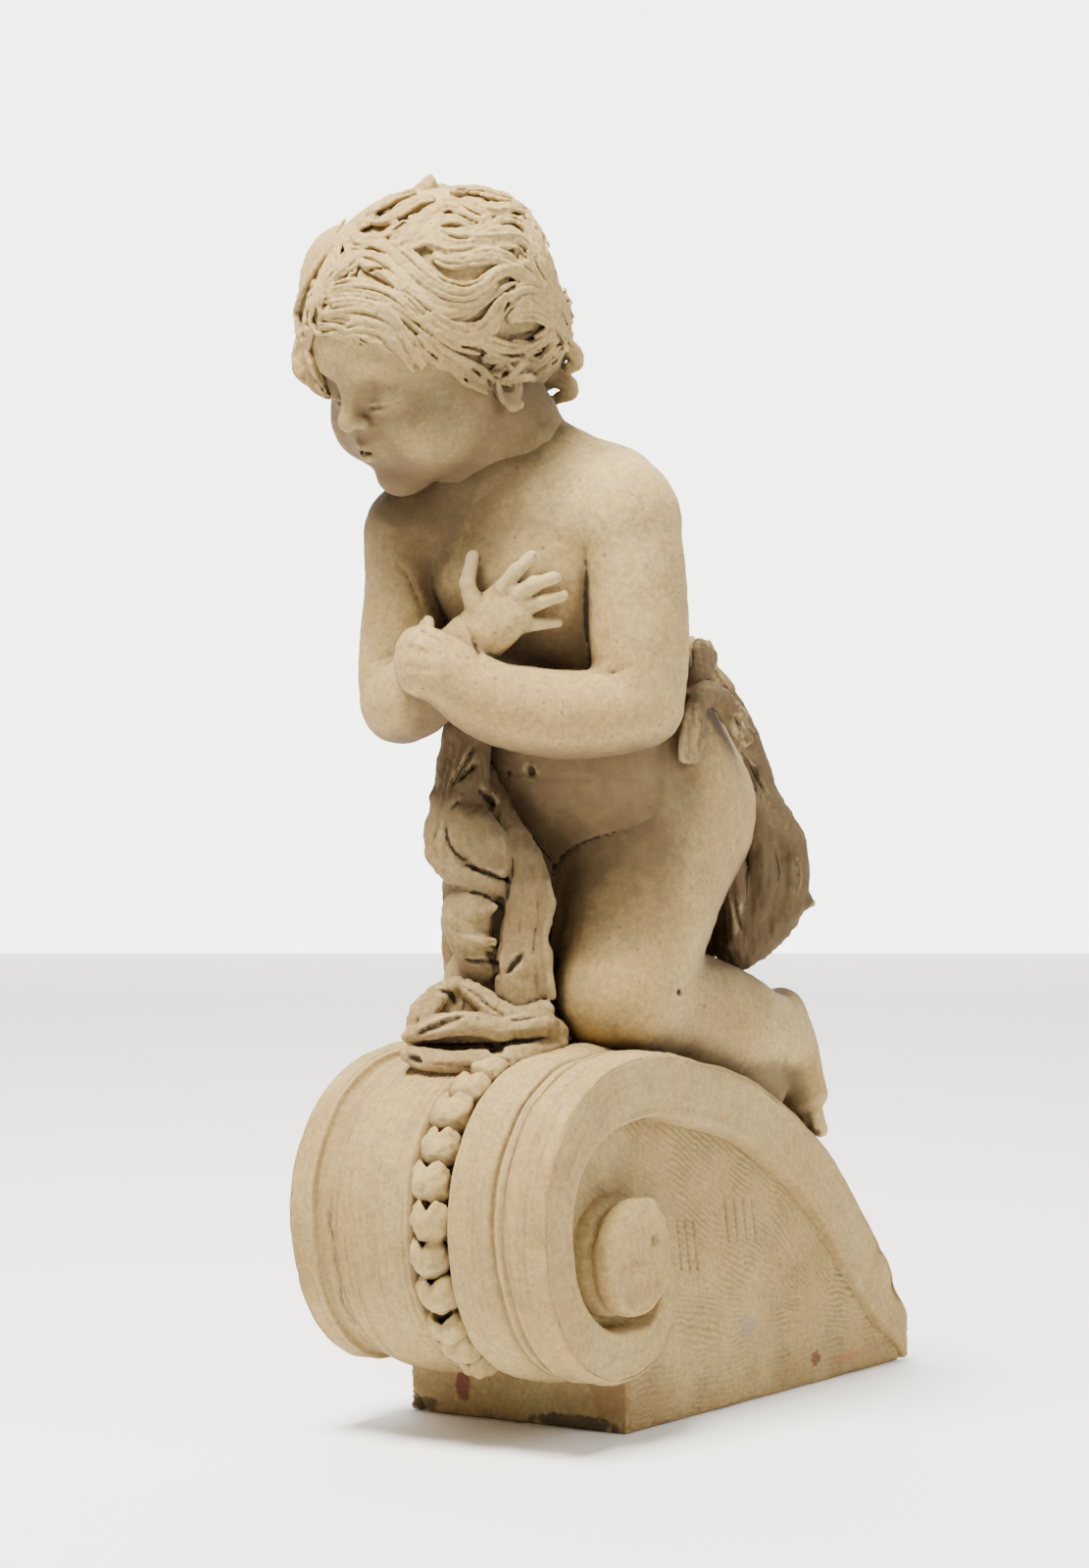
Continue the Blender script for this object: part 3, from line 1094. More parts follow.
def cloth_front(clay):
    fold(clay, (-6, 42, 122, 9, 9), (2, 38, 92, 13, 12), (4, 32, 50, 18, 14), (2, 28, 16, 17, 12))
    fold(clay, (-32, 7, 5, 7, 8), (-19, 5, 9, 9, 9), (-4, 3, 9, 10, 9), (12, 4, 9, 10, 9), (26, 7, 8, 8, 8))
    fold(clay, (-19, 8, 24, 8, 5), (-27, 5, 18, 9, 5), (-33, 1, 12, 6, 4))
    fold(clay, (-11, 36, 152, 11, 9), (-14, 27, 128, 12, 10), (-16, 20, 108, 13.5, 11), (-17, 18, 93, 14.5, 11), (-13, 18, 84, 12, 9))
    fold(clay, (-26, 15, 90, 4), (-18, 10, 82, 5), (-6, 10, 78.5, 4.5), (6, 12, 73, 3.5), soft=3)
    fold(clay, (-4, 17, 77, 8, 7), (-9, 15, 69, 11, 9), (-12, 14, 60, 11.5, 10), (-10, 16, 50, 10, 8), (-5, 20, 36, 10.5, 7), soft=1.5)
    fold(clay, (-17, 12, 66, 2), (-9, 7, 64, 3), (0, 8, 66, 2), soft=4)
    fold(clay, (-18, 11, 56, 2), (-9, 6, 52, 3), (0, 8, 50, 2), soft=4)
    leaf = np.array(seen(0.8, 0, 0.6))
    fold(clay, (-15, 15, 110, 7, 5), (-10, 11, 101, 11.5, 6), (-3, 9, 92, 11, 5.5), (4, 11, 84, 7, 5), soft=1, across=leaf)
    fold(clay, (-10, 3, 104, 5, 3), (-4, 1.5, 95, 7.5, 3.5), (2, 4, 87, 4.5, 3), soft=3, across=leaf, cut=True)
    fold(clay, (-4, 26, 118, 5, 5), (5, 19, 104, 6, 6), (11, 14, 93, 7.5, 6.5), (16, 12, 81, 9, 7), (16, 11, 66, 11, 8), soft=1)
    fold(clay, (16, 11, 66, 11, 8), (13.5, 11, 53, 10.5, 8), (13.5, 11, 40, 12, 8), (13.5, 12, 27, 13, 8), (11, 12, 19, 12, 7), soft=1)
    fold(clay, (24, 8, 76, 2.2), (25.5, 6, 66, 2.6), (22.5, 5, 53, 2.6), (24.5, 5, 40, 2.6), (26, 6, 26, 2.4), soft=3)
    fold(clay, (-17, 9, 31, 3.6), (-9, 6, 27, 5), (0, 3, 20, 5.5), (11, 1, 16, 5.5), (23, 2, 20, 4.5), soft=1)
    fold(clay, (-16, 8, 31, 4, 3), (-24, 4, 27, 7, 4.5), (-31, 0, 19, 7.5, 4.5), (-36, -2, 11, 3.5, 3.5), soft=1, across=leaf)
    fold(clay, (-37, -4, 9, 4, 4), (-24, -9, 13.5, 5.5, 5.5), (-9, -10, 14.5, 5.5, 5.5), (5, -7, 11, 5, 5), soft=0.8, across=(0, 0, 1))
    fold(clay, (5, -6, 12, 5), (14, -4, 13, 5.5), (23, 0, 13, 6), (28, 4, 6, 4.5), soft=1, across=(0, 0, 1))
    fold(clay, (-37, -7, 0, 4.5, 4.5), (-24, -12, -2, 5.5, 6), (-8, -13, -2.5, 5.5, 6), (7, -11, -1.5, 5.5, 6), soft=0.8, across=(0, 0, 1))
    fold(clay, (7, -11, -1.5, 5.5, 6), (18, -5, 0.5, 5.5, 5), (29, 3, 5, 4.5, 4.5), soft=0.8, across=(0, 0, 1))


FRONT_CREASES = (
    # deep lines, where a fold turns under
    (((-8, 139), (-13, 130), (-20, 118)), 1.5),
    (((-7, 131), (-12, 126), (-16, 122)), 1.6),
    (((-15, 114), (-19, 110)), 1.6),
    (((-7, 119), (-3, 115), (0, 111)), 2.6),
    (((-21, 106), (-21, 97), (-16, 89), (-10, 86)), 1.2),
    (((-13, 85), (-6, 82.5), (1, 79.5), (7, 77)), 1.5),
    (((9, 88), (8.5, 80), (6, 70), (4, 58), (3, 46), (1, 34), (-1, 28)), 1.1),
    (((-14, 73), (-6, 72), (1, 68), (5, 63)), 1.4),
    (((12.5, 44), (10, 41), (6, 36)), 2.6),
    (((-3, 45), (1, 42), (2, 36)), 2.6),
    (((-14, 42), (-7, 41), (0, 41)), 1.6),
    (((-14, 30), (-8, 27), (-1, 21), (8, 16)), 1.0),
    (((-34, 9.6), (-27, 13), (-20, 16), (-13, 18)), 2.2),
    (((-24, 29), (-19, 27), (-17, 22)), 1.8),
    (((-35, 5), (-20, 4), (-6, 5), (8, 6), (24, 8)), 1.6),
    (((-4, 5), (2, 3), (5, 6)), 2.6),
    (((-37, 0), (-34, -1), (-32, -2)), 2.4),
    (((8, 16), (14, 17), (24, 18)), 1.6),
    # the modeller's lines along the folds
    (((-16, 146), (-19, 132), (-23, 112), (-26, 98)), 0.5),
    (((-20, 142), (-22, 128), (-25, 112)), 0.7),
    (((-12, 146), (-15, 134), (-20, 120)), 0.5),
    (((-24, 104), (-27, 94), (-24, 86)), 0.7),
    (((-21, 66), (-14, 61), (-5, 60), (2, 62)), 0.5),
    (((-16, 69), (-9, 66), (-2, 66)), 0.4),
    (((-20, 57), (-13, 54), (-3, 55)), 0.45),
    (((-12, 50), (-5, 49), (2, 51)), 0.6),
    (((-18, 49), (-11, 45), (-3, 44)), 0.5),
    (((14, 90), (19, 78), (20, 62), (18, 46), (20, 30)), 0.45),
    (((11, 84), (13, 70), (12, 56), (14, 42), (16, 28)), 0.45),
    (((-32, 12), (-20, 17), (-8, 17.5), (3, 14)), 0.45),
    (((-33, 8), (-20, 11), (-8, 12), (3, 9.5)), 0.45),
    (((-34, -2), (-20, -3), (-6, -4), (8, -2)), 0.5),
    (((-30, 25), (-33, 18), (-35, 13)), 0.7),
)


# %% The cloth behind, and the knot
def cloth_back(clay):
    fold(clay, (91, 96, 184, 5, 5), (98, 98, 170, 8, 6), (104, 102, 152, 11, 8), (110, 106, 133, 16, 9), (115, 108, 112, 18, 10),
         (121, 109, 92, 23, 10), (124, 110, 74, 24, 10), (123, 109, 58, 21, 10), (117, 108, 45, 14, 9), (113, 107, 37, 9, 7))
    fold(clay, (97, 92, 176, 4), (107, 96, 164, 5), (117, 101, 147, 5), (123, 104, 130, 5), (129, 104, 111, 6), (139, 106, 93, 7),
         (142, 106, 78, 7), (140, 105, 62, 6.5), (129, 104, 50, 6), (117, 103, 40, 6), soft=4)
    fold(clay, (143, 110, 66, 5), (149, 108, 62.5, 2.5), soft=3)
    fold(clay, (94, 88, 148, 4), (102, 91, 141, 5), (112, 95, 134, 4.5), (120, 99, 128, 3), soft=3)
    fold(clay, (96, 92, 124, 4), (106, 93, 121, 6), (116, 95, 112, 7), (126, 97, 101, 6), (136, 101, 93, 4), soft=4)
    fold(clay, (97, 93, 104, 5), (108, 95, 92, 6), (113, 96, 76, 6), (114, 98, 60, 5.5), (113, 100, 44, 5), soft=3)
    fold(clay, (122, 98, 98, 5), (126, 98, 84, 6.5), (126, 99, 68, 6.5), (121, 101, 50, 5), soft=4)
    fold(clay, (90, 120, 112, 12, 8), (97, 121, 90, 14, 8), (100, 121, 66, 16, 8), (100, 118, 46, 15, 7), (101, 116, 40, 9, 5), soft=2)
    fold(clay, (98, 85, 131, 3), (106, 87, 131, 4.2), (114, 92, 129, 3), (122, 97, 126, 1), soft=1.5, cut=True)
    fold(clay, (97, 86, 112, 2), (107, 88, 106, 2.4), (118, 90, 99, 2), soft=2, cut=True)
    fold(clay, (95, 88, 92, 5), (100, 89, 76, 6), (104, 92, 58, 5.5), (106, 95, 46, 4), soft=3, cut=True)
    clay.roll([(50, 96, 162, 9, 7), (30, 136, 150, 13, 9), (0, 150, 142, 15, 10), (-36, 134, 138, 16, 10)], across=(0, 0, 1))
    clay.roll([(-36, 134, 138, 16, 10), (-56, 98, 134, 15, 9), (-48, 52, 138, 13, 9), (-30, 30, 142, 11, 8)], across=(0, 0, 1))
    sheets = (
        (((-34, 126, 134, 34, 18), (-38, 120, 92, 42, 20), (-38, 116, 50, 42, 20), (-38, 112, 20, 38, 18)), (0.3, -1, 0), 6),
        (((-44, 74, 134, 24, 12), (-48, 70, 92, 30, 13), (-46, 64, 50, 30, 14), (-42, 60, 20, 28, 14)), (0, 1, 0), 6),
        (((-26, 142, 132, 20, 12), (-32, 148, 96, 24, 14), (-34, 148, 60, 24, 14), (-38, 142, 22, 22, 14)), (1, 0, 0), 4),
    )
    for rows, across, soft in sheets:
        clay.roll(rows, across=across, soft=soft)
    ridges = ((-58, 128, 134), (-62, 106, 132), (-59, 84, 130), (-57, 62, 134), (-40, 150, 134), (-16, 158, 130), (4, 154, 132))
    for k, (x, y, top) in enumerate(ridges):
        sway = 4 * math.sin(2.1 * k)
        rows = [(x, y, top, 4), (x + sway * 0.5, y + sway, top - 40, 5.5), (x - sway * 0.4, y, top - 80, 5.5), (x + 3, y + sway, 16, 6)]
        clay.roll(rows, soft=2)


BACK_CREASES = (
    (((94, 131), (102, 130), (112, 126)), 2.0),
    (((108, 112), (114, 106), (121, 99)), 0.7),
    (((100, 146), (108, 142), (117, 136)), 0.8),
    (((119, 122), (126, 112), (131, 100)), 0.9),
    (((116, 134), (122, 124), (129, 110)), 1.0),
    (((96, 156), (104, 148), (112, 140)), 0.8),
    (((118, 92), (119, 78), (118, 62), (115, 48)), 1.0),
    (((132, 90), (134, 76), (130, 62)), 0.7),
    (((106, 96), (107, 82), (108, 66)), 0.7),
    (((111, 70), (114, 58), (117, 47)), 1.4),
    (((100, 176), (106, 168), (112, 158)), 1.0),
    (((110, 160), (118, 148), (124, 136)), 0.7),
    (((141, 84), (143, 76), (141, 66)), 0.7),
)


def knot(clay):
    """The knot at the hip: a wrapped ball, a loop above it and two ends like leaves."""
    clay.ball((57, 83, 160), (7, 9, 7.5), soft=2)
    clay.roll([(55, 82, 164, 5, 4), (57, 88, 173, 7, 4), (55, 94, 181, 7, 3.5), (52, 99, 184, 4, 3)], across=(0, 1, 0), soft=1)
    clay.roll([(61, 76, 158, 5, 3.5), (63, 71, 149, 8.5, 4), (62.5, 70, 140, 10, 4), (61, 70, 133, 8.5, 3.4)], across=(0, 1, 0), soft=1)
    clay.roll([(58, 88, 164, 5, 4), (63, 96, 158, 6.5, 4), (66, 105, 149, 7, 4), (67, 111, 141, 5, 3)], across=(0, 0.6, 0.8), soft=1)
    clay.roll([(58, 74, 162, 2.4), (62, 80, 165, 3.0), (63, 88, 164, 3.2), (62, 94, 159, 2.6)], soft=1.5)
    for k in range(5):
        y = 70 + 3 * k
        clay.roll([(66.5, y - 4, 152, 0.7), (67.3, y - 6, 143, 1.1), (65, y - 6, 130, 1.0)], soft=0.6, cut=True)
        y = 91 + 3 * k
        clay.roll([(68, y - 3, 161 - 2.6 * k, 0.6), (70, y + 4, 152 - 2.6 * k, 1.0), (71, y + 9, 146 - 2.6 * k, 0.7)], soft=0.6, cut=True)
        clay.roll([(63, 78 + 2.5 * k, 169, 0.6), (63, 82 + 2.5 * k, 175, 0.9), (60, 86 + 2.5 * k, 181, 0.6)], soft=0.5, cut=True)
    clay.ball((63, 92, 177), (4, 4.5, 5.5), soft=1.0, cut=True)
    clay.roll([(64, 78, 160, 0.9), (67, 83, 162, 1.2), (66, 90, 159, 0.9)], soft=0.8, cut=True)


def cloth():
    clay = Clay((-86, -36, -20), (90, 206, 206), CLOTH_STEP)
    for press in (cloth_back, cloth_front, knot):
        press(clay)
    for path, width in FRONT_CREASES + BACK_CREASES:
        clay.score(path, width, sink=0.3, soft=1.0)
    return clay


cloth_clay = cloth()
print("cloth grid:", tuple(cloth_clay.count))

# %% [markdown]
# ## The console
#
# The console is a scroll seen from its end. Its outer edge is one smooth line: from the cut-off tail, over the
# top and round the volute. The mouldings are one band swept along that line: rims, grooves, rolls and swells
# are heights across the width. The side panels lie inside the band and carry the marks of a toothed rake.

# %% The console's line
CONSOLE_WIDTH = 135.0
PANEL_DEPTH_FRONT = 11.5
PANEL_DEPTH_REAR = 3.0
PANEL_DEPTH_FAR = 4.5
SCROLL_RADII = (87, 79.5, 66, 58.5, 55.5, 55, 38.5, 30)
REAR_REACH = 268.0
TAIL_HEIGHT = 24.0
BLOCK_SETBACK = 20.0
BACK_CURVE = ((0.10, -0.01), (0.19, 0.018), (0.40, 0.110), (0.54, 0.225), (0.69, 0.385), (0.82, 0.61), (0.92, 0.80), (1.0, 1.0))
BAND_WIDTHS = (31, 31, 30, 30, 25, 24, 8)
SCROLL_MIDDLE = np.array([0.0, -144.0, 83.0])
CONSOLE_HEIGHT = SCROLL_MIDDLE[2] + SCROLL_RADII[0]


def scroll_edge(steps, back_steps):
    """The outer edge from the tail, over the top and round the scroll: rows of y and z from its centre."""
    top = SCROLL_RADII[0]
    fall = CONSOLE_HEIGHT - TAIL_HEIGHT
    back = [(REAR_REACH * reach, top - fall * drop) for reach, drop in reversed(BACK_CURVE)]
    back = smooth_rows([*back, (0.0, top), (-30.0, top - 6)], back_steps)[: -back_steps - 1]
    radii = smooth_rows([(r,) for r in SCROLL_RADII], steps)[:, 0]
    angle = np.radians(45 * np.arange(len(radii)) / steps)
    return np.vstack([back, np.stack([-radii * np.sin(angle), radii * np.cos(angle)], axis=1)])


def even_line(line, step):
    """The same line with points a set step apart."""
    length = np.concatenate([[0], np.cumsum(np.linalg.norm(np.diff(line, axis=0), axis=1))])
    at = np.linspace(0, length[-1], int(length[-1] / step) + 1)
    return np.stack([np.interp(at, length, line[:, i]) for i in range(line.shape[1])], axis=1)


def outward(edge):
    along = np.gradient(edge, axis=0)
    normal = np.stack([along[:, 1], -along[:, 0]], 1)
    return normal / np.linalg.norm(normal, axis=1)[:, None]


ALONG_STEP = 2.6
EDGE = even_line(scroll_edge(24, 16), ALONG_STEP)
OUT = outward(EDGE)
ALONG = np.linspace(0, 1, len(EDGE))
BAND = np.interp(ALONG, np.linspace(0, 1, len(BAND_WIDTHS)), BAND_WIDTHS)
print("console line:", len(EDGE), "points")

# %% The moulding across the width: place across and rise, in millimetres
FAR_MOULDING = (
    (-67.5, -1.4), (-66.4, -0.1), (-61, 0.3), (-56.6, 0.0), (-55.4, -1.0), (-54.6, -2.9), (-52.5, -3.3), (-50.5, -2.5),
    (-48.4, -2.8), (-47.3, -3.3), (-46.2, -2.6), (-43.4, -2.7), (-42.2, -1.2), (-40, 0.3), (-32, 1.9), (-22, 2.5),
    (-12, 1.8), (-6, 0.4), (-3.7, -1.3), (-2.8, -5), (-1.8, -8.6),
)
CHANNEL_FLOOR = ((2, -9.3), (7, -9.5), (12, -9.2))
NEAR_MOULDING = (
    (15.0, -8.4), (15.9, -4.5), (16.9, -1), (19, 0.4), (25, 1.8), (31, 2.2), (36.5, 1.3), (39.5, 0), (40.4, -2.2),
    (41.2, -2.2), (42.1, -0.7), (43.7, -0.5), (44.7, -1.2), (45.4, -2.5), (46.4, -1.6), (48, -0.2), (51, 0.6),
    (54.4, 0.3), (56.1, -0.7), (57, -0.7), (59, 0.2), (62, 0.4), (65.4, 0.2), (66.8, -0.4), (67.5, -1.4),
)
MOULDING = np.array(FAR_MOULDING + CHANNEL_FLOOR + NEAR_MOULDING)
CHANNEL_MIDDLE = 6.6
SIDE_STEPS = 18


def closed_mesh(name, points, faces, material):
    """A mesh object from drawn points in metres and faces, with its faces turned outwards."""
    mesh = bpy.data.meshes.new(name)
    mesh.from_pydata(points, [], faces)
    mesh.validate()
    obj = bpy.data.objects.new(name, mesh)
    bpy.context.scene.collection.objects.link(obj)
    mesh.materials.append(material)
    return obj


def mouldings():
    """Points, faces and marks of the band, ring by ring along the line."""
    length = ALONG * ALONG_STEP * len(EDGE)
    stations = even_line(smooth_rows(MOULDING, 4), 0.68)
    half = CONSOLE_WIDTH / 2
    down = np.array([0.0, -1.0])
    rings, crease = [], []
    for k, (edge, out) in enumerate(zip(EDGE, OUT)):
        turn = min(1.0, length[k] / 45.0)
        turn = turn * turn * (3 - 2 * turn)
        inward = down * (1 - turn) - out * turn
        inward /= np.linalg.norm(inward)
        width = TAIL_HEIGHT * (1 - turn) + BAND[k] * turn
        rise = inward * -1.0
        depth = PANEL_DEPTH_FRONT
        ring, dirt = [], []
        shares = np.linspace(1, 0, SIDE_STEPS)
        for share in shares:
            ring.append((-half, *(edge + inward * (1.4 + (width - 1.4) * share))))
            dirt.append(0.0)
        for x, lift in stations:
            far = 1.0 * max(0.0, -x) / half
            wobble = 0.35 * math.sin(length[k] / 31 + x / 9) + 0.2 * math.sin(length[k] / 11 - x / 5)
            y, z = edge + rise * (lift - far)
            ring.append((x + wobble * (abs(x) < half - 1), y if k else edge[0], z))
            dirt.append(lift)
        for share in shares[::-1]:
            ring.append((half, *(edge + inward * (1.4 + (width - 1.4) * share))))
            dirt.append(0.0)
        ring[0] = (-half + PANEL_DEPTH_FAR + 3, ring[0][1], ring[0][2])
        ring[-1] = (half - depth - 3, ring[-1][1], ring[-1][2])
        ring[1] = (-half + 1.2, ring[1][1], ring[1][2])
        ring[-2] = (half - 1.2, ring[-2][1], ring[-2][2])
        rings.append(ring)
        crease.append(dirt)
    points = np.array(rings)
    around = points.shape[1]
    index = np.arange(len(rings) * around).reshape(len(rings), around)
    here, there = index[:-1], index[1:]
    quads = np.stack([here, np.roll(here, -1, 1), np.roll(there, -1, 1), there], axis=-1).reshape(-1, 4)
    faces = [tuple(q) for q in quads.tolist()]
    faces.append(tuple(index[0][::-1].tolist()))
    faces.append(tuple(index[-1].tolist()))
    return points, faces, np.array(crease)


band_points, band_faces, band_lift = mouldings()
print("band:", band_points.shape[0], "rings of", band_points.shape[1])

# %% [markdown]
# The band is a regular grid of points, so a hand's unevenness, brush streaks and chips are added by moving
# its points: along the line the streaks are long, across it they are short. The narrow grooves gather dirt
# where the clay lies lower than around it.

# %% Handwork on the band
CHIPS = (
    # along the line from 0 to 1, place across, half sizes along and across in mm, depth
    (0.030, 66, 5, 5, 1.8),
    (0.070, 67, 4, 4, 1.2),
    (0.52, 64, 3, 2.2, 0.8),
    (0.665, 62, 3.5, 3, 1.0),
    (0.44, 66.5, 2.5, 2, 0.9),
    (0.60, -66, 4, 2, 1.0),
    (0.70, -66.5, 3, 2, 1.2),
    (0.81, -65, 6, 3, 1.3),
    (0.50, -66, 3, 2, 0.8),
)
CRACK = (0.655, 0.745, -47.0)


def blurred_rows(values, passes):
    for _ in range(passes):
        values = (np.roll(values, 1, 1) + 2 * values + np.roll(values, -1, 1)) / 4
    return values


def worked_band():
    points = band_points.copy()
    rows, around = points.shape[:2]
    length = (ALONG * ALONG_STEP * len(EDGE))[:, None]
    across = points[:, :, 0]
    flat = points.reshape(-1, 3)
    rough = uneven(flat, 34, 3) * 0.35 + uneven(flat, 12, 4) * 0.16
    rough = rough.reshape(rows, around)
    outer = np.zeros(around, bool)
    outer[SIDE_STEPS:-SIDE_STEPS] = True
    streak = np.zeros((rows, around))
    draw = np.random.default_rng(11)
    for _ in range(26):
        pitch = draw.uniform(1.6, 4.2)
        drift = draw.uniform(20, 60)
        size = draw.uniform(0.03, 0.10)
        streak += size * np.sin(2 * np.pi * across / pitch + 2 * np.sin(length / drift + draw.uniform(0, 6)) + draw.uniform(0, 6))
    out3 = np.zeros((rows, 3))
    out3[:, 1:] = OUT
    depth = np.zeros((rows, around))
    for at, x, long, wide, deep in CHIPS:
        far = ((length - at * length[-1]) / long) ** 2 + ((across - x) / wide) ** 2
        depth += deep * np.exp(-far * (1.2 + 0.5 * rough / 0.35))
    wander = CRACK[2] + 1.2 * np.sin(length / 7) + 0.6 * np.sin(length / 2.9)
    inside = (ALONG > CRACK[0]) & (ALONG < CRACK[1])
    crack = np.exp(-(((across - wander) / 0.7) ** 2)) * inside[:, None]
    lift = np.where(outer, rough + streak - depth - 1.3 * crack, 0.0)
    lift[0] = 0.0
    points += lift[:, :, None] * out3[:, None, :]
    side = ~outer
    side[[0, -1]] = False
    share = np.abs(np.arange(around) - (around - 1) / 2)
    ring_lines = np.zeros((rows, around))
    for _ in range(16):
        pitch = draw.uniform(1.2, 3.0)
        ring_lines += draw.uniform(0.05, 0.13) * np.sin(2 * np.pi * share[None, :] / pitch + 1.6 * np.sin(length / draw.uniform(14, 40) + draw.uniform(0, 6)))
    push = np.where(side, ring_lines + 0.8 * rough - depth * 0.8, 0.0)
    points[:, :, 0] += push * np.sign(across)
    groove = np.clip((blurred_rows(band_lift, 26) - band_lift) / 1.4, 0, 0.75) * outer
    lines = np.where(outer, streak, ring_lines)
    groove = np.maximum(groove, np.clip(-lines * 1.3 - 0.12, 0, 0.38))
    groove = np.maximum(groove, 1.4 * crack)
    worn = np.clip((band_lift - blurred_rows(band_lift, 50)) / 1.2, 0, 1) * outer
    open_air = np.broadcast_to(np.where(outer, 0.80, 0.55), (rows, around))
    return points, groove, worn, open_air


band_worked, band_groove, band_worn, band_open = worked_band()

# %% The raked side panels
RAKE_PITCH = 2.7
RAKE_DEPTH = 0.5
RAKED = (
    # slope, then place and half size up and along the panel
    (0.05, 10, -20, 20, 90),
    (0.18, 34, 60, 16, 60),
    (0.22, 44, -60, 22, 50),
    (0.50, 78, -100, 24, 40),
    (0.42, 74, -40, 20, 34),
    (0.85, 66, 30, 26, 32),
    (0.55, 110, -80, 22, 60),
)
PANEL_SINK = 1.0
STROKES = (
    # y and z of a shallow stroke's two ends, in millimetres of the object
    ((-84, 92), (-80, 70)), ((-77, 91), (-73, 69)), ((-70, 90), (-66, 68)),
    ((-43, 98), (-39, 78)), ((-35, 97), (-31, 77)), ((-27, 96), (-23, 76)), ((-19, 95), (-15, 75)),
)


def block_outline():
    """The block's outline behind the mouldings: y and z in millimetres of the object."""
    middle = EDGE - OUT * BAND[:, None] * 0.55
    around = np.degrees(np.arctan2(-middle[:, 0], middle[:, 1])) % 360
    past = next(k for k in range(len(EDGE) // 2, len(EDGE)) if 200 < around[k] < 300)
    front = SCROLL_MIDDLE[1] + BLOCK_SETBACK
    rear = SCROLL_MIDDLE[1] + REAR_REACH - 0.5
    shelf = SCROLL_MIDDLE[2] - SCROLL_RADII[4] * 0.8
    inner = middle[12:past:4] + SCROLL_MIDDLE[1:]
    return np.vstack([[(rear, 0.0), (rear, TAIL_HEIGHT * 0.6)], inner, [(front, shelf), (front, 0.0)]])


def inside_polygon(outline, y, z):
    inside = np.zeros(y.shape, bool)
    for (y0, z0), (y1, z1) in zip(outline, np.roll(outline, -1, axis=0)):
        crosses = (z0 > z) != (z1 > z)
        inside ^= crosses & (y < (y1 - y0) * (z - z0) / (z1 - z0 + 1e-12) + y0)
    return inside


def distance_to_outline(outline, y, z):
    best = np.full(y.shape, 1e9)
    for (y0, z0), (y1, z1) in zip(outline, np.roll(outline, -1, axis=0)):
        run = (y1 - y0) ** 2 + (z1 - z0) ** 2 + 1e-12
        t = np.clip(((y - y0) * (y1 - y0) + (z - z0) * (z1 - z0)) / run, 0, 1)
        best = np.minimum(best, np.hypot(y - y0 - t * (y1 - y0), z - z0 - t * (z1 - z0)))
    return best


OUTLINE = block_outline()
FRONT, SHELF = OUTLINE[-2]
REAR = OUTLINE[0][0]


def panel_inset(y, side):
    share = np.clip((y - FRONT) / (REAR - FRONT), 0, 1)
    near = PANEL_DEPTH_FRONT + share * (PANEL_DEPTH_REAR - PANEL_DEPTH_FRONT)
    return near if side > 0 else np.full(np.shape(y), PANEL_DEPTH_FAR)


def rake(y, z, seed):
    """Wavy lines of a toothed rake, drawn in overlapping strokes whose slope changes up the panel."""
    flat = np.stack([y.ravel(), z.ravel(), np.zeros(y.size)], axis=1)
    wander = uneven(flat, 24, seed).reshape(y.shape)
    ripple = uneven(flat, 9, seed + 1).reshape(y.shape)
    total = np.zeros(y.shape)
    shares = np.zeros(y.shape)
    for slope, height, reach, high, long in RAKED:
        far = ((z - height + 7 * wander) / high) ** 2 + ((y - reach + 9 * ripple) / long) ** 2
        weight = np.exp(-5 * far) + 1e-9
        phase = (z + slope * (y + 40)) * math.cos(math.atan(slope)) + 0.9 * wander + 0.35 * ripple
        total += weight * np.sin(2 * np.pi * phase / RAKE_PITCH)
        shares += weight
    total /= shares
    fade = np.clip(0.75 + 0.6 * uneven(flat, 30, seed + 2).reshape(y.shape), 0.25, 1.25)
    return RAKE_DEPTH * fade * np.clip(total, -1.1, 1.1), 0.32 * wander + 0.10 * ripple


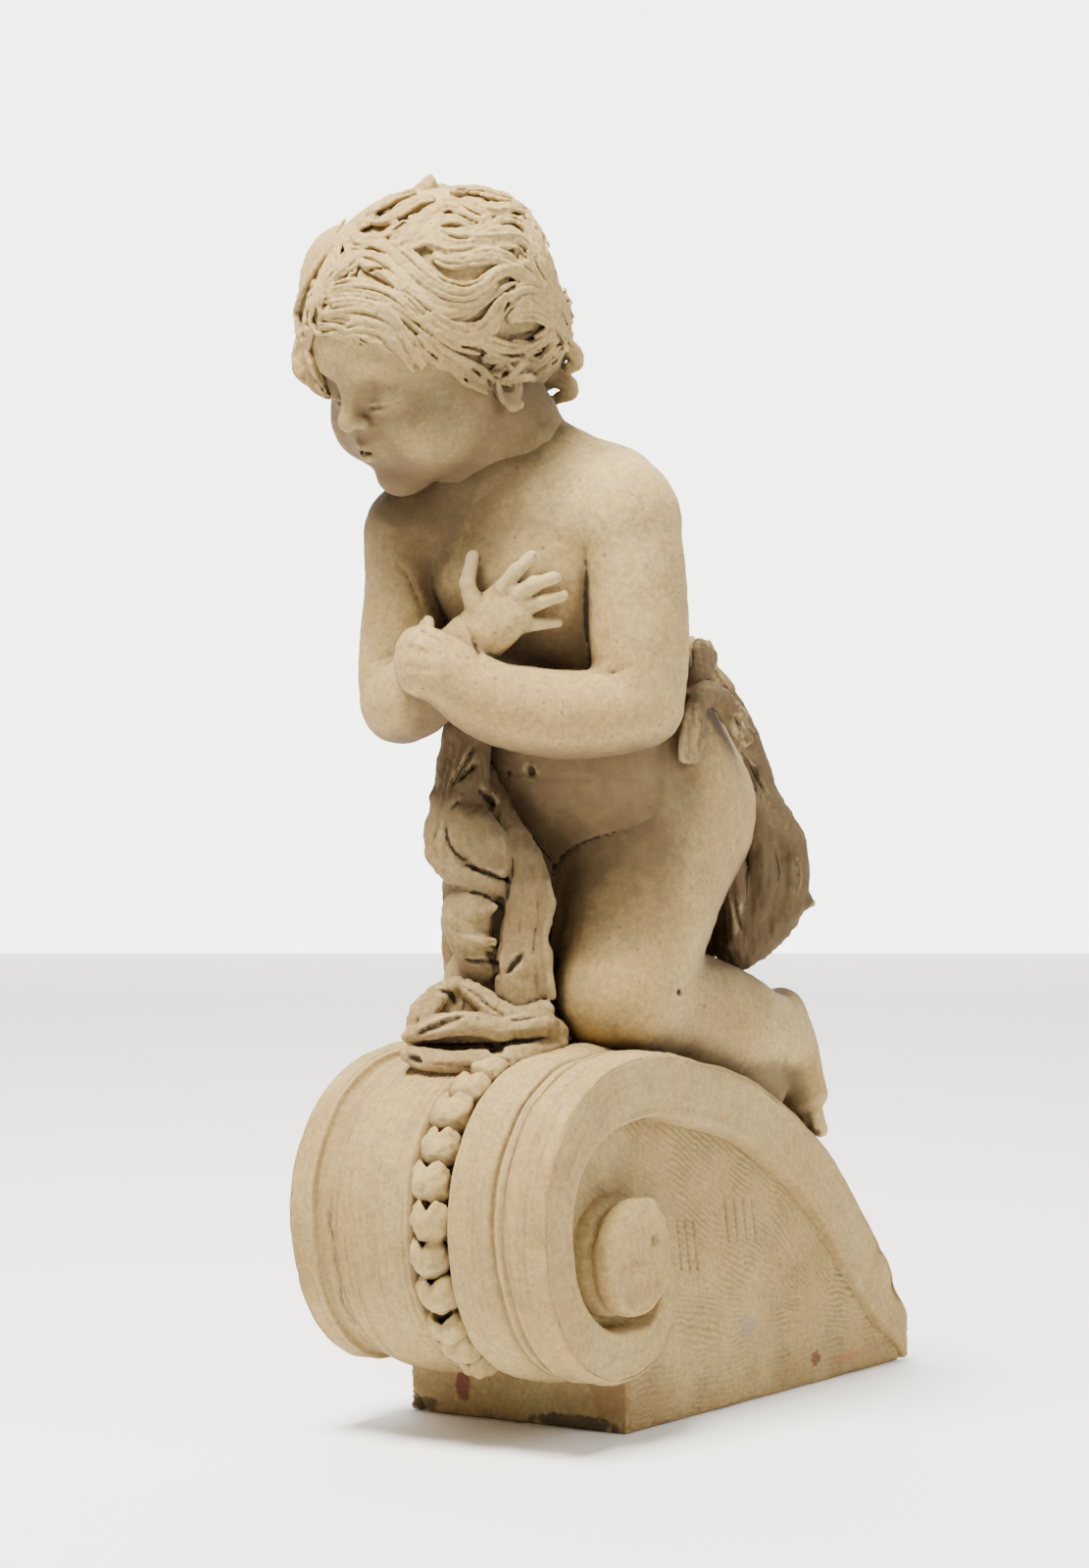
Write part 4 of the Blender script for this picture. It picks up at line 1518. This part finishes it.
def side_panel(name, side, step, seed):
    """A closed slab whose outer face is the raked panel; its free edges sink into the block."""
    ys = np.arange(OUTLINE[:, 0].min() + 1, REAR, step)
    zs = np.arange(0.7, OUTLINE[:, 1].max(), step * 0.6)
    y, z = np.meshgrid(ys, zs, indexing="ij")
    keep = inside_polygon(OUTLINE, (y[:-1, :-1] + y[1:, 1:]) / 2, (z[:-1, :-1] + z[1:, 1:]) / 2)
    free = [(REAR, TAIL_HEIGHT * 0.6), (REAR, 0.0), (FRONT, 0.0), (FRONT, SHELF)]
    edge = np.minimum.reduce([distance_to_outline(np.array(pair), y, z) for pair in zip(free[:-1], free[1:])])
    edge = edge + 0.6 * uneven(np.stack([y.ravel(), z.ravel(), z.ravel() * 0], 1), 8, seed + 5).reshape(y.shape)
    rounding = 3.0 * np.clip(1 - edge / 3.4, 0, 1) ** 2
    lines, swell = rake(y, z, seed)
    height = PANEL_SINK + lines + swell - rounding
    stroke = np.zeros(y.shape)
    if side > 0:
        for (y0, z0), (y1, z1) in STROKES:
            line = distance_to_outline(np.array([(y0, z0), (y1, z1)]), y, z)
            stroke = np.maximum(stroke, np.clip(1.3 - line / 1.0, 0, 1))
    height -= 1.5 * stroke
    x = side * (CONSOLE_WIDTH / 2 - panel_inset(y, side) - PANEL_SINK + height)
    back = side * (CONSOLE_WIDTH / 2 - panel_inset(y, side) - 6.0)
    count = y.size
    index = np.arange(count).reshape(y.shape)
    quads = np.stack([index[:-1, :-1], index[1:, :-1], index[1:, 1:], index[:-1, 1:]], axis=-1)[keep]
    if side < 0:
        quads = quads[:, ::-1]
    pairs = np.concatenate([np.stack([quads[:, i], quads[:, (i + 1) % 4]], 1) for i in range(4)])
    codes = pairs[:, 0].astype(np.int64) * count * 2 + pairs[:, 1]
    twins = pairs[:, 1].astype(np.int64) * count * 2 + pairs[:, 0]
    rim = pairs[~np.isin(codes, twins)]
    walls = np.stack([rim[:, 1], rim[:, 0], rim[:, 0] + count, rim[:, 1] + count], axis=1)
    points = np.concatenate([np.stack([x, y, z], -1).reshape(-1, 3), np.stack([back, y, z], -1).reshape(-1, 3)])
    used, faces = np.unique(np.vstack([quads, walls]), return_inverse=True)
    faces = faces.reshape(-1, 4).tolist()
    follow = dict(zip(np.searchsorted(used, rim[:, 1] + count).tolist(), np.searchsorted(used, rim[:, 0] + count).tolist()))
    while follow:
        loop = [next(iter(follow))]
        while loop[-1] in follow:
            loop.append(follow.pop(loop[-1]))
        faces.append(loop[:-1])
    groove = np.clip(-lines / RAKE_DEPTH, 0, 1) * 0.6 + 1.4 * stroke
    groove = np.concatenate([groove.ravel(), np.zeros(count)])
    return points[used], faces, groove[used]


# %% [markdown]
# ## Where dirt gathers
#
# Dirt lies where a brush can't reach. To find such places, all the clay is laid into one coarse grid as solid
# or empty and blurred at two widths: a point in the open has half of its surroundings filled, and a point in a
# gap has much more. Narrow grooves are found the same way in each clay's own fine grid.

# %% The dirt map
MAP_STEP = 2.2
MAP_LOW = np.array([-100.0, -110.0, -182.0])
MAP_HIGH = np.array([100.0, 290.0, 410.0])


def box_blur(volume, reach):
    """The mean over a cube that reaches this many cells to each side, twice over."""
    for axis in (0, 1, 2, 0, 1, 2):
        padded = np.pad(volume, [(reach + 1, reach) if i == axis else (0, 0) for i in range(3)], mode="edge")
        total = np.cumsum(padded, axis=axis, dtype=np.float64)
        low = [slice(None)] * 3
        high = [slice(None)] * 3
        low[axis] = slice(0, -2 * reach - 1)
        high[axis] = slice(2 * reach + 1, None)
        volume = ((total[tuple(high)] - total[tuple(low)]) / (2 * reach + 1)).astype(np.float32)
    return volume


def dirt_map():
    axes = [np.arange(MAP_LOW[i], MAP_HIGH[i], MAP_STEP) for i in range(3)]
    solid = np.zeros([len(a) for a in axes], np.float32)
    for clay in (body_clay, head_clay, hair_clay, cloth_clay):
        picks = [np.round((axes[i] - clay.low[i]) / clay.step).astype(int) for i in range(3)]
        within = [(picks[i] >= 0) & (picks[i] < clay.count[i]) for i in range(3)]
        part = clay.field[np.ix_(*[picks[i][within[i]] for i in range(3)])] < 0
        spot = np.ix_(*[np.nonzero(within[i])[0] for i in range(3)])
        solid[spot] = np.maximum(solid[spot], part)
    y, z = np.meshgrid(axes[1] + FIGURE_ORIGIN[1] * 1000, axes[2] + FIGURE_ORIGIN[2] * 1000, indexing="ij")
    outer = inside_polygon(np.vstack([EDGE + SCROLL_MIDDLE[1:], [(REAR, 0.0)]])[::2], y, z)
    outer &= np.hypot(y - SCROLL_MIDDLE[1], z - SCROLL_MIDDLE[2]) < 1000
    panel = inside_polygon((EDGE - OUT * BAND[:, None])[::3] + SCROLL_MIDDLE[1:], y, z)
    block = inside_polygon(OUTLINE, y, z)
    inset = panel_inset(y, 1)
    eye = np.hypot(y - SCROLL_MIDDLE[1], z - SCROLL_MIDDLE[2]) < 27
    for k, x in enumerate(axes[0]):
        room = CONSOLE_WIDTH / 2 - abs(x)
        full = (outer & (room > 0)) & ~(panel & block & (room < inset) & ~eye)
        full |= block & (room > inset)
        full |= eye & (room > -7)
        solid[k] = np.maximum(solid[k], full)
    near = box_blur(solid, 1)
    far = box_blur(solid, 4)
    return (0.45 * near + 0.55 * far).astype(np.float32), np.clip(2 * near - 0.5, 0, 1)


DIRT, SOLID = dirt_map()
SHELTER_AZIMUTHS = (-70, -30, 10, 50, 90)
SHELTER_HEIGHTS = (40, 62, 84)
SHELTER_REACH = (2, 9, 17, 27, 39, 54, 72, 92)


def sheltered(points, normals):
    """The share of the ways from some drawn points to the light above the front that clay blocks."""
    total = np.zeros(len(points))
    for azimuth in np.radians(SHELTER_AZIMUTHS):
        for height in np.radians(SHELTER_HEIGHTS):
            level = math.cos(height)
            way = np.array([math.sin(azimuth) * level, -math.cos(azimuth) * level, math.sin(height)])
            blocked = np.zeros(len(points))
            for reach in SHELTER_REACH:
                at = np.round((points + normals * 5 + way * reach - MAP_LOW) / MAP_STEP).astype(int)
                at = np.clip(at, 0, np.array(SOLID.shape) - 1)
                blocked = np.maximum(blocked, SOLID[tuple(at.T)])
            total += blocked
    return total / len(SHELTER_AZIMUTHS) / len(SHELTER_HEIGHTS)


def how_hollow(points, normals, reach=1.5):
    """How full the surroundings of some drawn points are, measured a little outside them."""
    at = (points + normals * reach - MAP_LOW) / MAP_STEP
    first = np.clip(np.floor(at).astype(int), 0, np.array(DIRT.shape) - 2)
    share = np.clip(at - first, 0, 1)
    total = np.zeros(len(points))
    for i in (0, 1):
        for j in (0, 1):
            for k in (0, 1):
                weight = np.abs(1 - i - share[:, 0]) * np.abs(1 - j - share[:, 1]) * np.abs(1 - k - share[:, 2])
                total += weight * DIRT[first[:, 0] + i, first[:, 1] + j, first[:, 2] + k]
    return total


print("dirt map:", DIRT.shape)

# %% [markdown]
# ## From clay to pieces
#
# Each clay gives a closed skin. It is smoothed a little, roughened by hand, thinned where it has more faces
# than it needs, and given its three marks. Then it is told which CAD node it stands for.

# %% Finishing
MOST_TRIANGLES = 180000


def modified(obj):
    """The object with its modifiers made part of its mesh."""
    graph = bpy.context.evaluated_depsgraph_get()
    mesh = bpy.data.meshes.new_from_object(obj.evaluated_get(graph))
    obj.modifiers.clear()
    obj.data = mesh
    return obj


def points_of(mesh):
    out = np.empty(len(mesh.vertices) * 3)
    mesh.vertices.foreach_get("co", out)
    return out.reshape(-1, 3)


def normals_of(mesh):
    out = np.empty(len(mesh.vertices) * 3, np.float32)
    mesh.vertex_normals.foreach_get("vector", out)
    return out.reshape(-1, 3)


def mark(mesh, name, values):
    layer = mesh.attributes.new(name, "FLOAT", "POINT")
    layer.data.foreach_set("value", np.ascontiguousarray(values, np.float32))


def dressed(obj, hollow, crease, worn):
    """Stores the marks, and says what the piece rides on and stands for."""
    shelter = sheltered(drawn(points_of(obj.data)), normals_of(obj.data))
    for name, values in (("hollow", hollow), ("crease", crease), ("worn", worn), ("shelter", shelter)):
        mark(obj.data, name, values)
    obj.data.shade_smooth()
    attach(obj, "root")
    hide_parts(NODE)
    triangles = sum(len(p.vertices) - 2 for p in obj.data.polygons)
    print(obj.name, "triangles:", triangles)
    return obj


def drawn(points):
    """Object metres back in the putto's drawn millimetres."""
    return (points - FIGURE_ORIGIN) * 1000


def brushed(here, seed):
    """Unevenness drawn out along the folds: up and down, and level in the heap on the console."""
    level = np.clip((24 - here[:, 2]) / 12, 0, 1)
    upright = uneven(here * (1, 1, 0.12), 3.4, seed) + 0.6 * uneven(here * (1, 1, 0.15), 1.9, seed + 1)
    lying = uneven(here * (0.15, 0.15, 1), 3.0, seed + 2)
    return upright * (1 - level) + lying * level


def from_clay(name, clay, material, smooth, rough, most, grain=0.0):
    points, faces = clay.skin()
    obj = closed_mesh(name, metres(points), faces, material)
    if smooth:
        soften = obj.modifiers.new("soften", "SMOOTH")
        soften.factor = 0.5
        soften.iterations = smooth
        modified(obj)
    mesh = obj.data
    place = points_of(mesh)
    here = drawn(place)
    lift = sum(size * uneven(here, wave, seed) for size, wave, seed in rough)
    if grain:
        lift = lift + grain * brushed(here, 61)
    place += normals_of(mesh) * lift[:, None] / 1000
    mesh.vertices.foreach_set("co", place.ravel())
    mesh.update()
    triangles = 2 * len(mesh.polygons)
    if triangles > most:
        thin = obj.modifiers.new("fewer faces", "DECIMATE")
        thin.ratio = most / triangles
        modified(obj)
    here = drawn(points_of(obj.data))
    normals = normals_of(obj.data)
    gap = clay.value(here + normals * 0.3) - clay.value(here + normals * 0.3, box_blur(clay.field, 1))
    crease = np.clip(gap / 0.30, 0, 1.4)
    worn = np.clip(-gap / 0.35, 0, 1)
    return dressed(obj, how_hollow(here, normals), crease, worn)


# %% The modelled pieces
from_clay("body", body_clay, FLESH_CLAY, 2, ((0.22, 18, 1), (0.10, 7, 2)), 140000)
from_clay("head", head_clay, FLESH_CLAY, 2, ((0.10, 14, 5), (0.05, 6, 6)), 90000)
from_clay("hair", hair_clay, HAIR_CLAY, 0, ((0.15, 6, 7), (0.10, 2.6, 8)), MOST_TRIANGLES)
from_clay("cloth", cloth_clay, CLOTH_CLAY, 1, ((0.3, 11, 9), (0.15, 4, 10)), 150000, grain=0.28)

# %% The console's band and panels
CONSOLE_SHIFT = np.array([0.0, -144.0, 83.0])


def console_piece(name, points, faces, material, crease, worn, share=0.9):
    """A console piece from points in millimetres of the object. share is the part of the dirt that stays."""
    obj = closed_mesh(name, points / 1000, faces, material)
    here = drawn(points_of(obj.data))
    return dressed(obj, how_hollow(here, normals_of(obj.data), 4.5) * share, crease, worn)


band_flat = band_worked.reshape(-1, 3) + CONSOLE_SHIFT
console_piece("mouldings", band_flat, band_faces, BAND_CLAY, band_groove.ravel(), band_worn.ravel(), band_open.ravel())
for name, side, step, seed in (("left_panel", 1, 0.95, 21), ("right_panel", -1, 1.8, 31)):
    points, faces, groove = side_panel(name, side, step * (1.0), seed)
    console_piece(name, points, faces, PANEL_CLAY, groove, np.zeros(len(points)))

# %% The block between the panels
BLOCK_STEP = 1.5


def block():
    clay = Clay((-70, OUTLINE[:, 0].min() - 4, -4), (70, 130, 168), BLOCK_STEP)
    _, (x, y, z) = clay.block(clay.low, clay.low + clay.step * (clay.count - 1))
    yy, zz = np.meshgrid(y.ravel(), z.ravel(), indexing="ij")
    flat = distance_to_outline(OUTLINE, yy, zz) * np.where(inside_polygon(OUTLINE, yy, zz), -1, 1)
    flat = flat.astype(np.float32)[None]
    right = x - (CONSOLE_WIDTH / 2 - panel_inset(y, 1) - PANEL_SINK).astype(np.float32)
    left = -x - (CONSOLE_WIDTH / 2 - PANEL_DEPTH_FAR - PANEL_SINK)
    clay.field = np.maximum(np.maximum(flat, right), left).astype(np.float32)
    clay.ball((-66, FRONT - 2, -3), (13, 9, 13), soft=3, cut=True)
    clay.ball((-66, FRONT - 3, 22), (6, 7, 10), soft=3, cut=True)
    for k in range(3):
        height = 33.5 - 2.4 * k
        clay.roll([(-50 + 9 * k, FRONT, height, 0.9), (-10, FRONT, height + 1.2, 1.0), (22 + 6 * k, FRONT, height, 0.8)], soft=1, cut=True)
    return clay


block_clay = block()
points, faces = block_clay.skin()
points[:, 2] = np.maximum(points[:, 2], 0.0)
made = closed_mesh("block", points / 1000, faces, PANEL_CLAY)
thin = made.modifiers.new("fewer faces", "DECIMATE")
thin.ratio = min(1.0, 30000 / (2 * len(faces)))
modified(made)
here = drawn(points_of(made.data))
dressed(made, how_hollow(here, normals_of(made.data)) * 0.75, np.zeros(len(here)), np.zeros(len(here)))

# %% [markdown]
# ## The eyes of the scroll
#
# The scroll ends in a round boss on each side, which stands out of its ring. A boss is turned: its height
# depends on the distance from the middle, and spiral brush marks and a chipped hole are pressed into it.

# %% Eyes
EYE_RADIUS = 25.5
EYE_PROUD = 7.5
RING_RADIUS = 31.0
EYE_TURNS = 120
EYE_PROFILE = (
    # distance from the middle, height above the band's face
    (0.0, 4.3), (6, 4.4), (14, 5.0), (20, 6.2), (23.2, 7.4), (24.8, 7.3), (26.0, 6.3), (26.5, 3.5), (26.3, 0.4),
    (25.2, -1.8), (24.2, -2.9), (24.7, -4.2), (26.2, -5.2), (27.3, -7.5), (27.9, -11.0), (28.2, -16.0),
)
EYE_HOLE = (0.62, -0.28, 3.4, 3.2)


def eye_boss(name, side):
    profile = smooth_rows(EYE_PROFILE, 4)
    profile = profile[profile[:, 0] > 0.4]
    turn = np.linspace(0, 2 * np.pi, EYE_TURNS, endpoint=False)
    radius, angle = np.meshgrid(profile[:, 0], turn, indexing="ij")
    height = np.repeat(profile[:, 1:2], EYE_TURNS, axis=1)
    flat = np.stack([radius * np.cos(angle), radius * np.sin(angle), radius * 0 + 40 * side], -1).reshape(-1, 3)
    rough = uneven(flat, 13, 41 + side).reshape(radius.shape) * 0.45 + uneven(flat, 5, 43).reshape(radius.shape) * 0.15
    spiral = 0.22 * np.sin(2 * np.pi * radius / 2.4 + angle + 1.2 * rough / 0.45)
    height += np.where(radius < 24, spiral, 0) + rough
    dark = np.zeros(radius.shape)
    if side > 0:
        y, z = EYE_HOLE[0] * EYE_RADIUS, EYE_HOLE[1] * EYE_RADIUS * -1
        far = np.hypot(radius * np.sin(angle) - y, radius * np.cos(angle) - z)
        dark = np.clip(1.15 - far / EYE_HOLE[2] + 0.3 * rough, 0, 1)
        height -= EYE_HOLE[3] * dark
    wall = radius + np.where(radius > 25.4, rough * 1.2, 0)
    points = np.stack([side * (CONSOLE_WIDTH / 2 + height), wall * np.sin(angle), wall * np.cos(angle)], -1)
    rows = len(profile)
    index = np.arange(rows * EYE_TURNS).reshape(rows, EYE_TURNS)
    here, there = index[:-1], index[1:]
    quads = np.stack([here, there, np.roll(there, -1, 1), np.roll(here, -1, 1)], axis=-1).reshape(-1, 4)
    faces = [tuple(q if side < 0 else q[::-1]) for q in quads.tolist()]
    first, last = index[0].tolist(), index[-1].tolist()
    faces.append(tuple(first if side < 0 else first[::-1]))
    faces.append(tuple(last[::-1] if side < 0 else last))
    points = points.reshape(-1, 3) + SCROLL_MIDDLE
    console_piece(name, points, faces, BAND_CLAY, dark.ravel(), np.zeros(dark.size))


eye_boss("left_eye", 1)
eye_boss("right_eye", -1)

# %% [markdown]
# ## The string of buds
#
# Buds like closed tulips overlap along the channel. They repeat along a path, so Geometry Nodes set them: the
# path is resampled at the pitch of the buds, and each point gets the bud turned along the path, with its own
# small turn and size from a fixed seed.

# %% One bud
BUD_LENGTH = 18.5
BUD_WIDTH = 18.5
BUD_PITCH = 15.6
BUD_TURNS = 30


def bud_mesh():
    """A closed cup with three pointed leaves round its mouth, standing along Z, in metres."""
    turn = np.linspace(0, 2 * np.pi, BUD_TURNS, endpoint=False)
    leaf = np.abs(np.sin(1.5 * turn - 0.75 * np.pi))
    rows, dirt = [], []
    for share in np.linspace(0.03, 1, 15):
        swell = math.sin(math.pi * (0.08 + share * 0.80)) ** 0.5
        radius = BUD_WIDTH / 2 * swell * (1 - 0.16 * share * (1 - leaf) ** 2)
        reach = BUD_LENGTH * share * (1 - 0.24 * share * (1 - leaf) ** 1.5)
        rows.append(np.stack([radius * np.cos(turn), radius * np.sin(turn), reach], -1))
        dirt.append(0.7 * share**2 * (1 - leaf) ** 3 + 0.7 * (share < 0.18))
    rim = rows[-1]
    for share, drop in ((0.86, 0.3), (0.76, 3.0), (0.68, 7.0), (0.2, 9.0)):
        rows.append(rim * (share, share, 1) - (0, 0, drop))
        dirt.append(np.full(BUD_TURNS, 0.4 + 0.06 * drop))
    points = np.vstack(rows) / 1000
    index = np.arange(len(points)).reshape(len(rows), BUD_TURNS)
    here, there = index[:-1], index[1:]
    quads = np.stack([here, np.roll(here, -1, 1), np.roll(there, -1, 1), there], axis=-1).reshape(-1, 4)
    faces = [tuple(q) for q in quads.tolist()]
    faces.append(tuple(index[0][::-1].tolist()))
    faces.append(tuple(index[-1].tolist()))
    bud = closed_mesh("bud", points, faces, BAND_CLAY)
    mark(bud.data, "crease", np.concatenate([np.broadcast_to(d, BUD_TURNS) for d in dirt]))
    return bud


# %% The path of the buds and the tree that sets them
def bud_path():
    """A line in the middle of the channel, with the way out of the console stored at each point."""
    steep = int(np.argmin(EDGE[:, 1] + EDGE[:, 0] * 0.2))
    places = (EDGE - OUT * 4.6)[2:steep][::-1]
    ways = OUT[2:steep][::-1]
    points = np.column_stack([np.full(len(places), CHANNEL_MIDDLE), places]) + SCROLL_MIDDLE
    mesh = bpy.data.meshes.new("bud_path")
    mesh.from_pydata(points / 1000, [(k, k + 1) for k in range(len(points) - 1)], [])
    layer = mesh.attributes.new("outward", "FLOAT_VECTOR", "POINT")
    layer.data.foreach_set("vector", np.column_stack([np.zeros(len(ways)), ways]).astype(np.float32).ravel())
    obj = bpy.data.objects.new("buds", mesh)
    bpy.context.scene.collection.objects.link(obj)
    return obj


def bud_tree():
    tree = bpy.data.node_groups.new("string_of_buds", "GeometryNodeTree")
    face = tree.interface
    face.new_socket("Path", in_out="INPUT", socket_type="NodeSocketGeometry")
    face.new_socket("Bud", in_out="INPUT", socket_type="NodeSocketObject")
    for name, start in (("Pitch", BUD_PITCH / 1000), ("Least size", 0.92), ("Most size", 1.10), ("Turn", 0.13)):
        face.new_socket(name, in_out="INPUT", socket_type="NodeSocketFloat").default_value = start
    face.new_socket("Seed", in_out="INPUT", socket_type="NodeSocketInt").default_value = 5
    face.new_socket("Clay", in_out="INPUT", socket_type="NodeSocketMaterial")
    face.new_socket("Buds", in_out="OUTPUT", socket_type="NodeSocketGeometry")

    def node(kind, **settings):
        made = tree.nodes.new(kind)
        for key, value in settings.items():
            setattr(made, key, value)
        return made

    def link(one, two):
        tree.links.new(one, two)

    given = node("NodeGroupInput")
    curve = node("GeometryNodeMeshToCurve")
    link(given.outputs["Path"], curve.inputs["Mesh"])
    spaced = node("GeometryNodeResampleCurve", mode="LENGTH")
    link(curve.outputs["Curve"], spaced.inputs["Curve"])
    link(given.outputs["Pitch"], spaced.inputs["Length"])
    along = node("FunctionNodeAlignRotationToVector", axis="Z")
    link(node("GeometryNodeInputTangent").outputs["Tangent"], along.inputs["Vector"])
    out = node("GeometryNodeInputNamedAttribute", data_type="FLOAT_VECTOR")
    out.inputs["Name"].default_value = "outward"
    facing = node("FunctionNodeAlignRotationToVector", axis="Y", pivot_axis="Z")
    link(along.outputs["Rotation"], facing.inputs["Rotation"])
    link(out.outputs["Attribute"], facing.inputs["Vector"])
    wobble = node("FunctionNodeRandomValue", data_type="FLOAT_VECTOR")
    negative = node("ShaderNodeMath", operation="MULTIPLY")
    negative.inputs[1].default_value = -1.0
    link(given.outputs["Turn"], negative.inputs[0])
    link(negative.outputs[0], wobble.inputs[0])
    link(given.outputs["Turn"], wobble.inputs[1])
    link(given.outputs["Seed"], wobble.inputs["Seed"])
    turned = node("FunctionNodeRotateRotation", rotation_space="LOCAL")
    link(facing.outputs["Rotation"], turned.inputs["Rotation"])
    link(wobble.outputs["Value"], turned.inputs["Rotate By"])
    size = node("FunctionNodeRandomValue", data_type="FLOAT")
    link(given.outputs["Least size"], size.inputs[2])
    link(given.outputs["Most size"], size.inputs[3])
    link(given.outputs["Seed"], size.inputs["Seed"])
    bud = node("GeometryNodeObjectInfo", transform_space="ORIGINAL")
    link(given.outputs["Bud"], bud.inputs["Object"])
    placed = node("GeometryNodeInstanceOnPoints")
    link(spaced.outputs["Curve"], placed.inputs["Points"])
    link(bud.outputs["Geometry"], placed.inputs["Instance"])
    link(turned.outputs["Rotation"], placed.inputs["Rotation"])
    link(size.outputs[1], placed.inputs["Scale"])
    real = node("GeometryNodeRealizeInstances")
    link(placed.outputs["Instances"], real.inputs["Geometry"])
    painted = node("GeometryNodeSetMaterial")
    link(real.outputs["Geometry"], painted.inputs["Geometry"])
    link(given.outputs["Clay"], painted.inputs["Material"])
    link(painted.outputs["Geometry"], node("NodeGroupOutput").inputs["Buds"])
    return tree


bud = bud_mesh()
buds = bud_path()
setter = buds.modifiers.new("string of buds", "NODES")
setter.node_group = bud_tree()
for item in setter.node_group.interface.items_tree:
    if item.name == "Bud":
        setter[item.identifier] = bud
    if item.name == "Clay":
        setter[item.identifier] = BAND_CLAY
modified(buds)
buds.data.materials.clear()
buds.data.materials.append(BAND_CLAY)
bpy.data.objects.remove(bud)
here = points_of(buds.data)
bent = drawn(here)
here += normals_of(buds.data) * (0.6 * uneven(bent, 6, 51) + 0.25 * uneven(bent, 2.5, 52))[:, None] / 1000
buds.data.vertices.foreach_set("co", here.ravel())
creases = np.empty(len(here), np.float32)
buds.data.attributes["crease"].data.foreach_get("value", creases)
for name in [layer.name for layer in buds.data.attributes if layer.name in ("crease", "outward")]:
    buds.data.attributes.remove(buds.data.attributes[name])
dressed(buds, how_hollow(drawn(here), normals_of(buds.data)) * 0.95, creases * 1.5, np.zeros(len(here)))
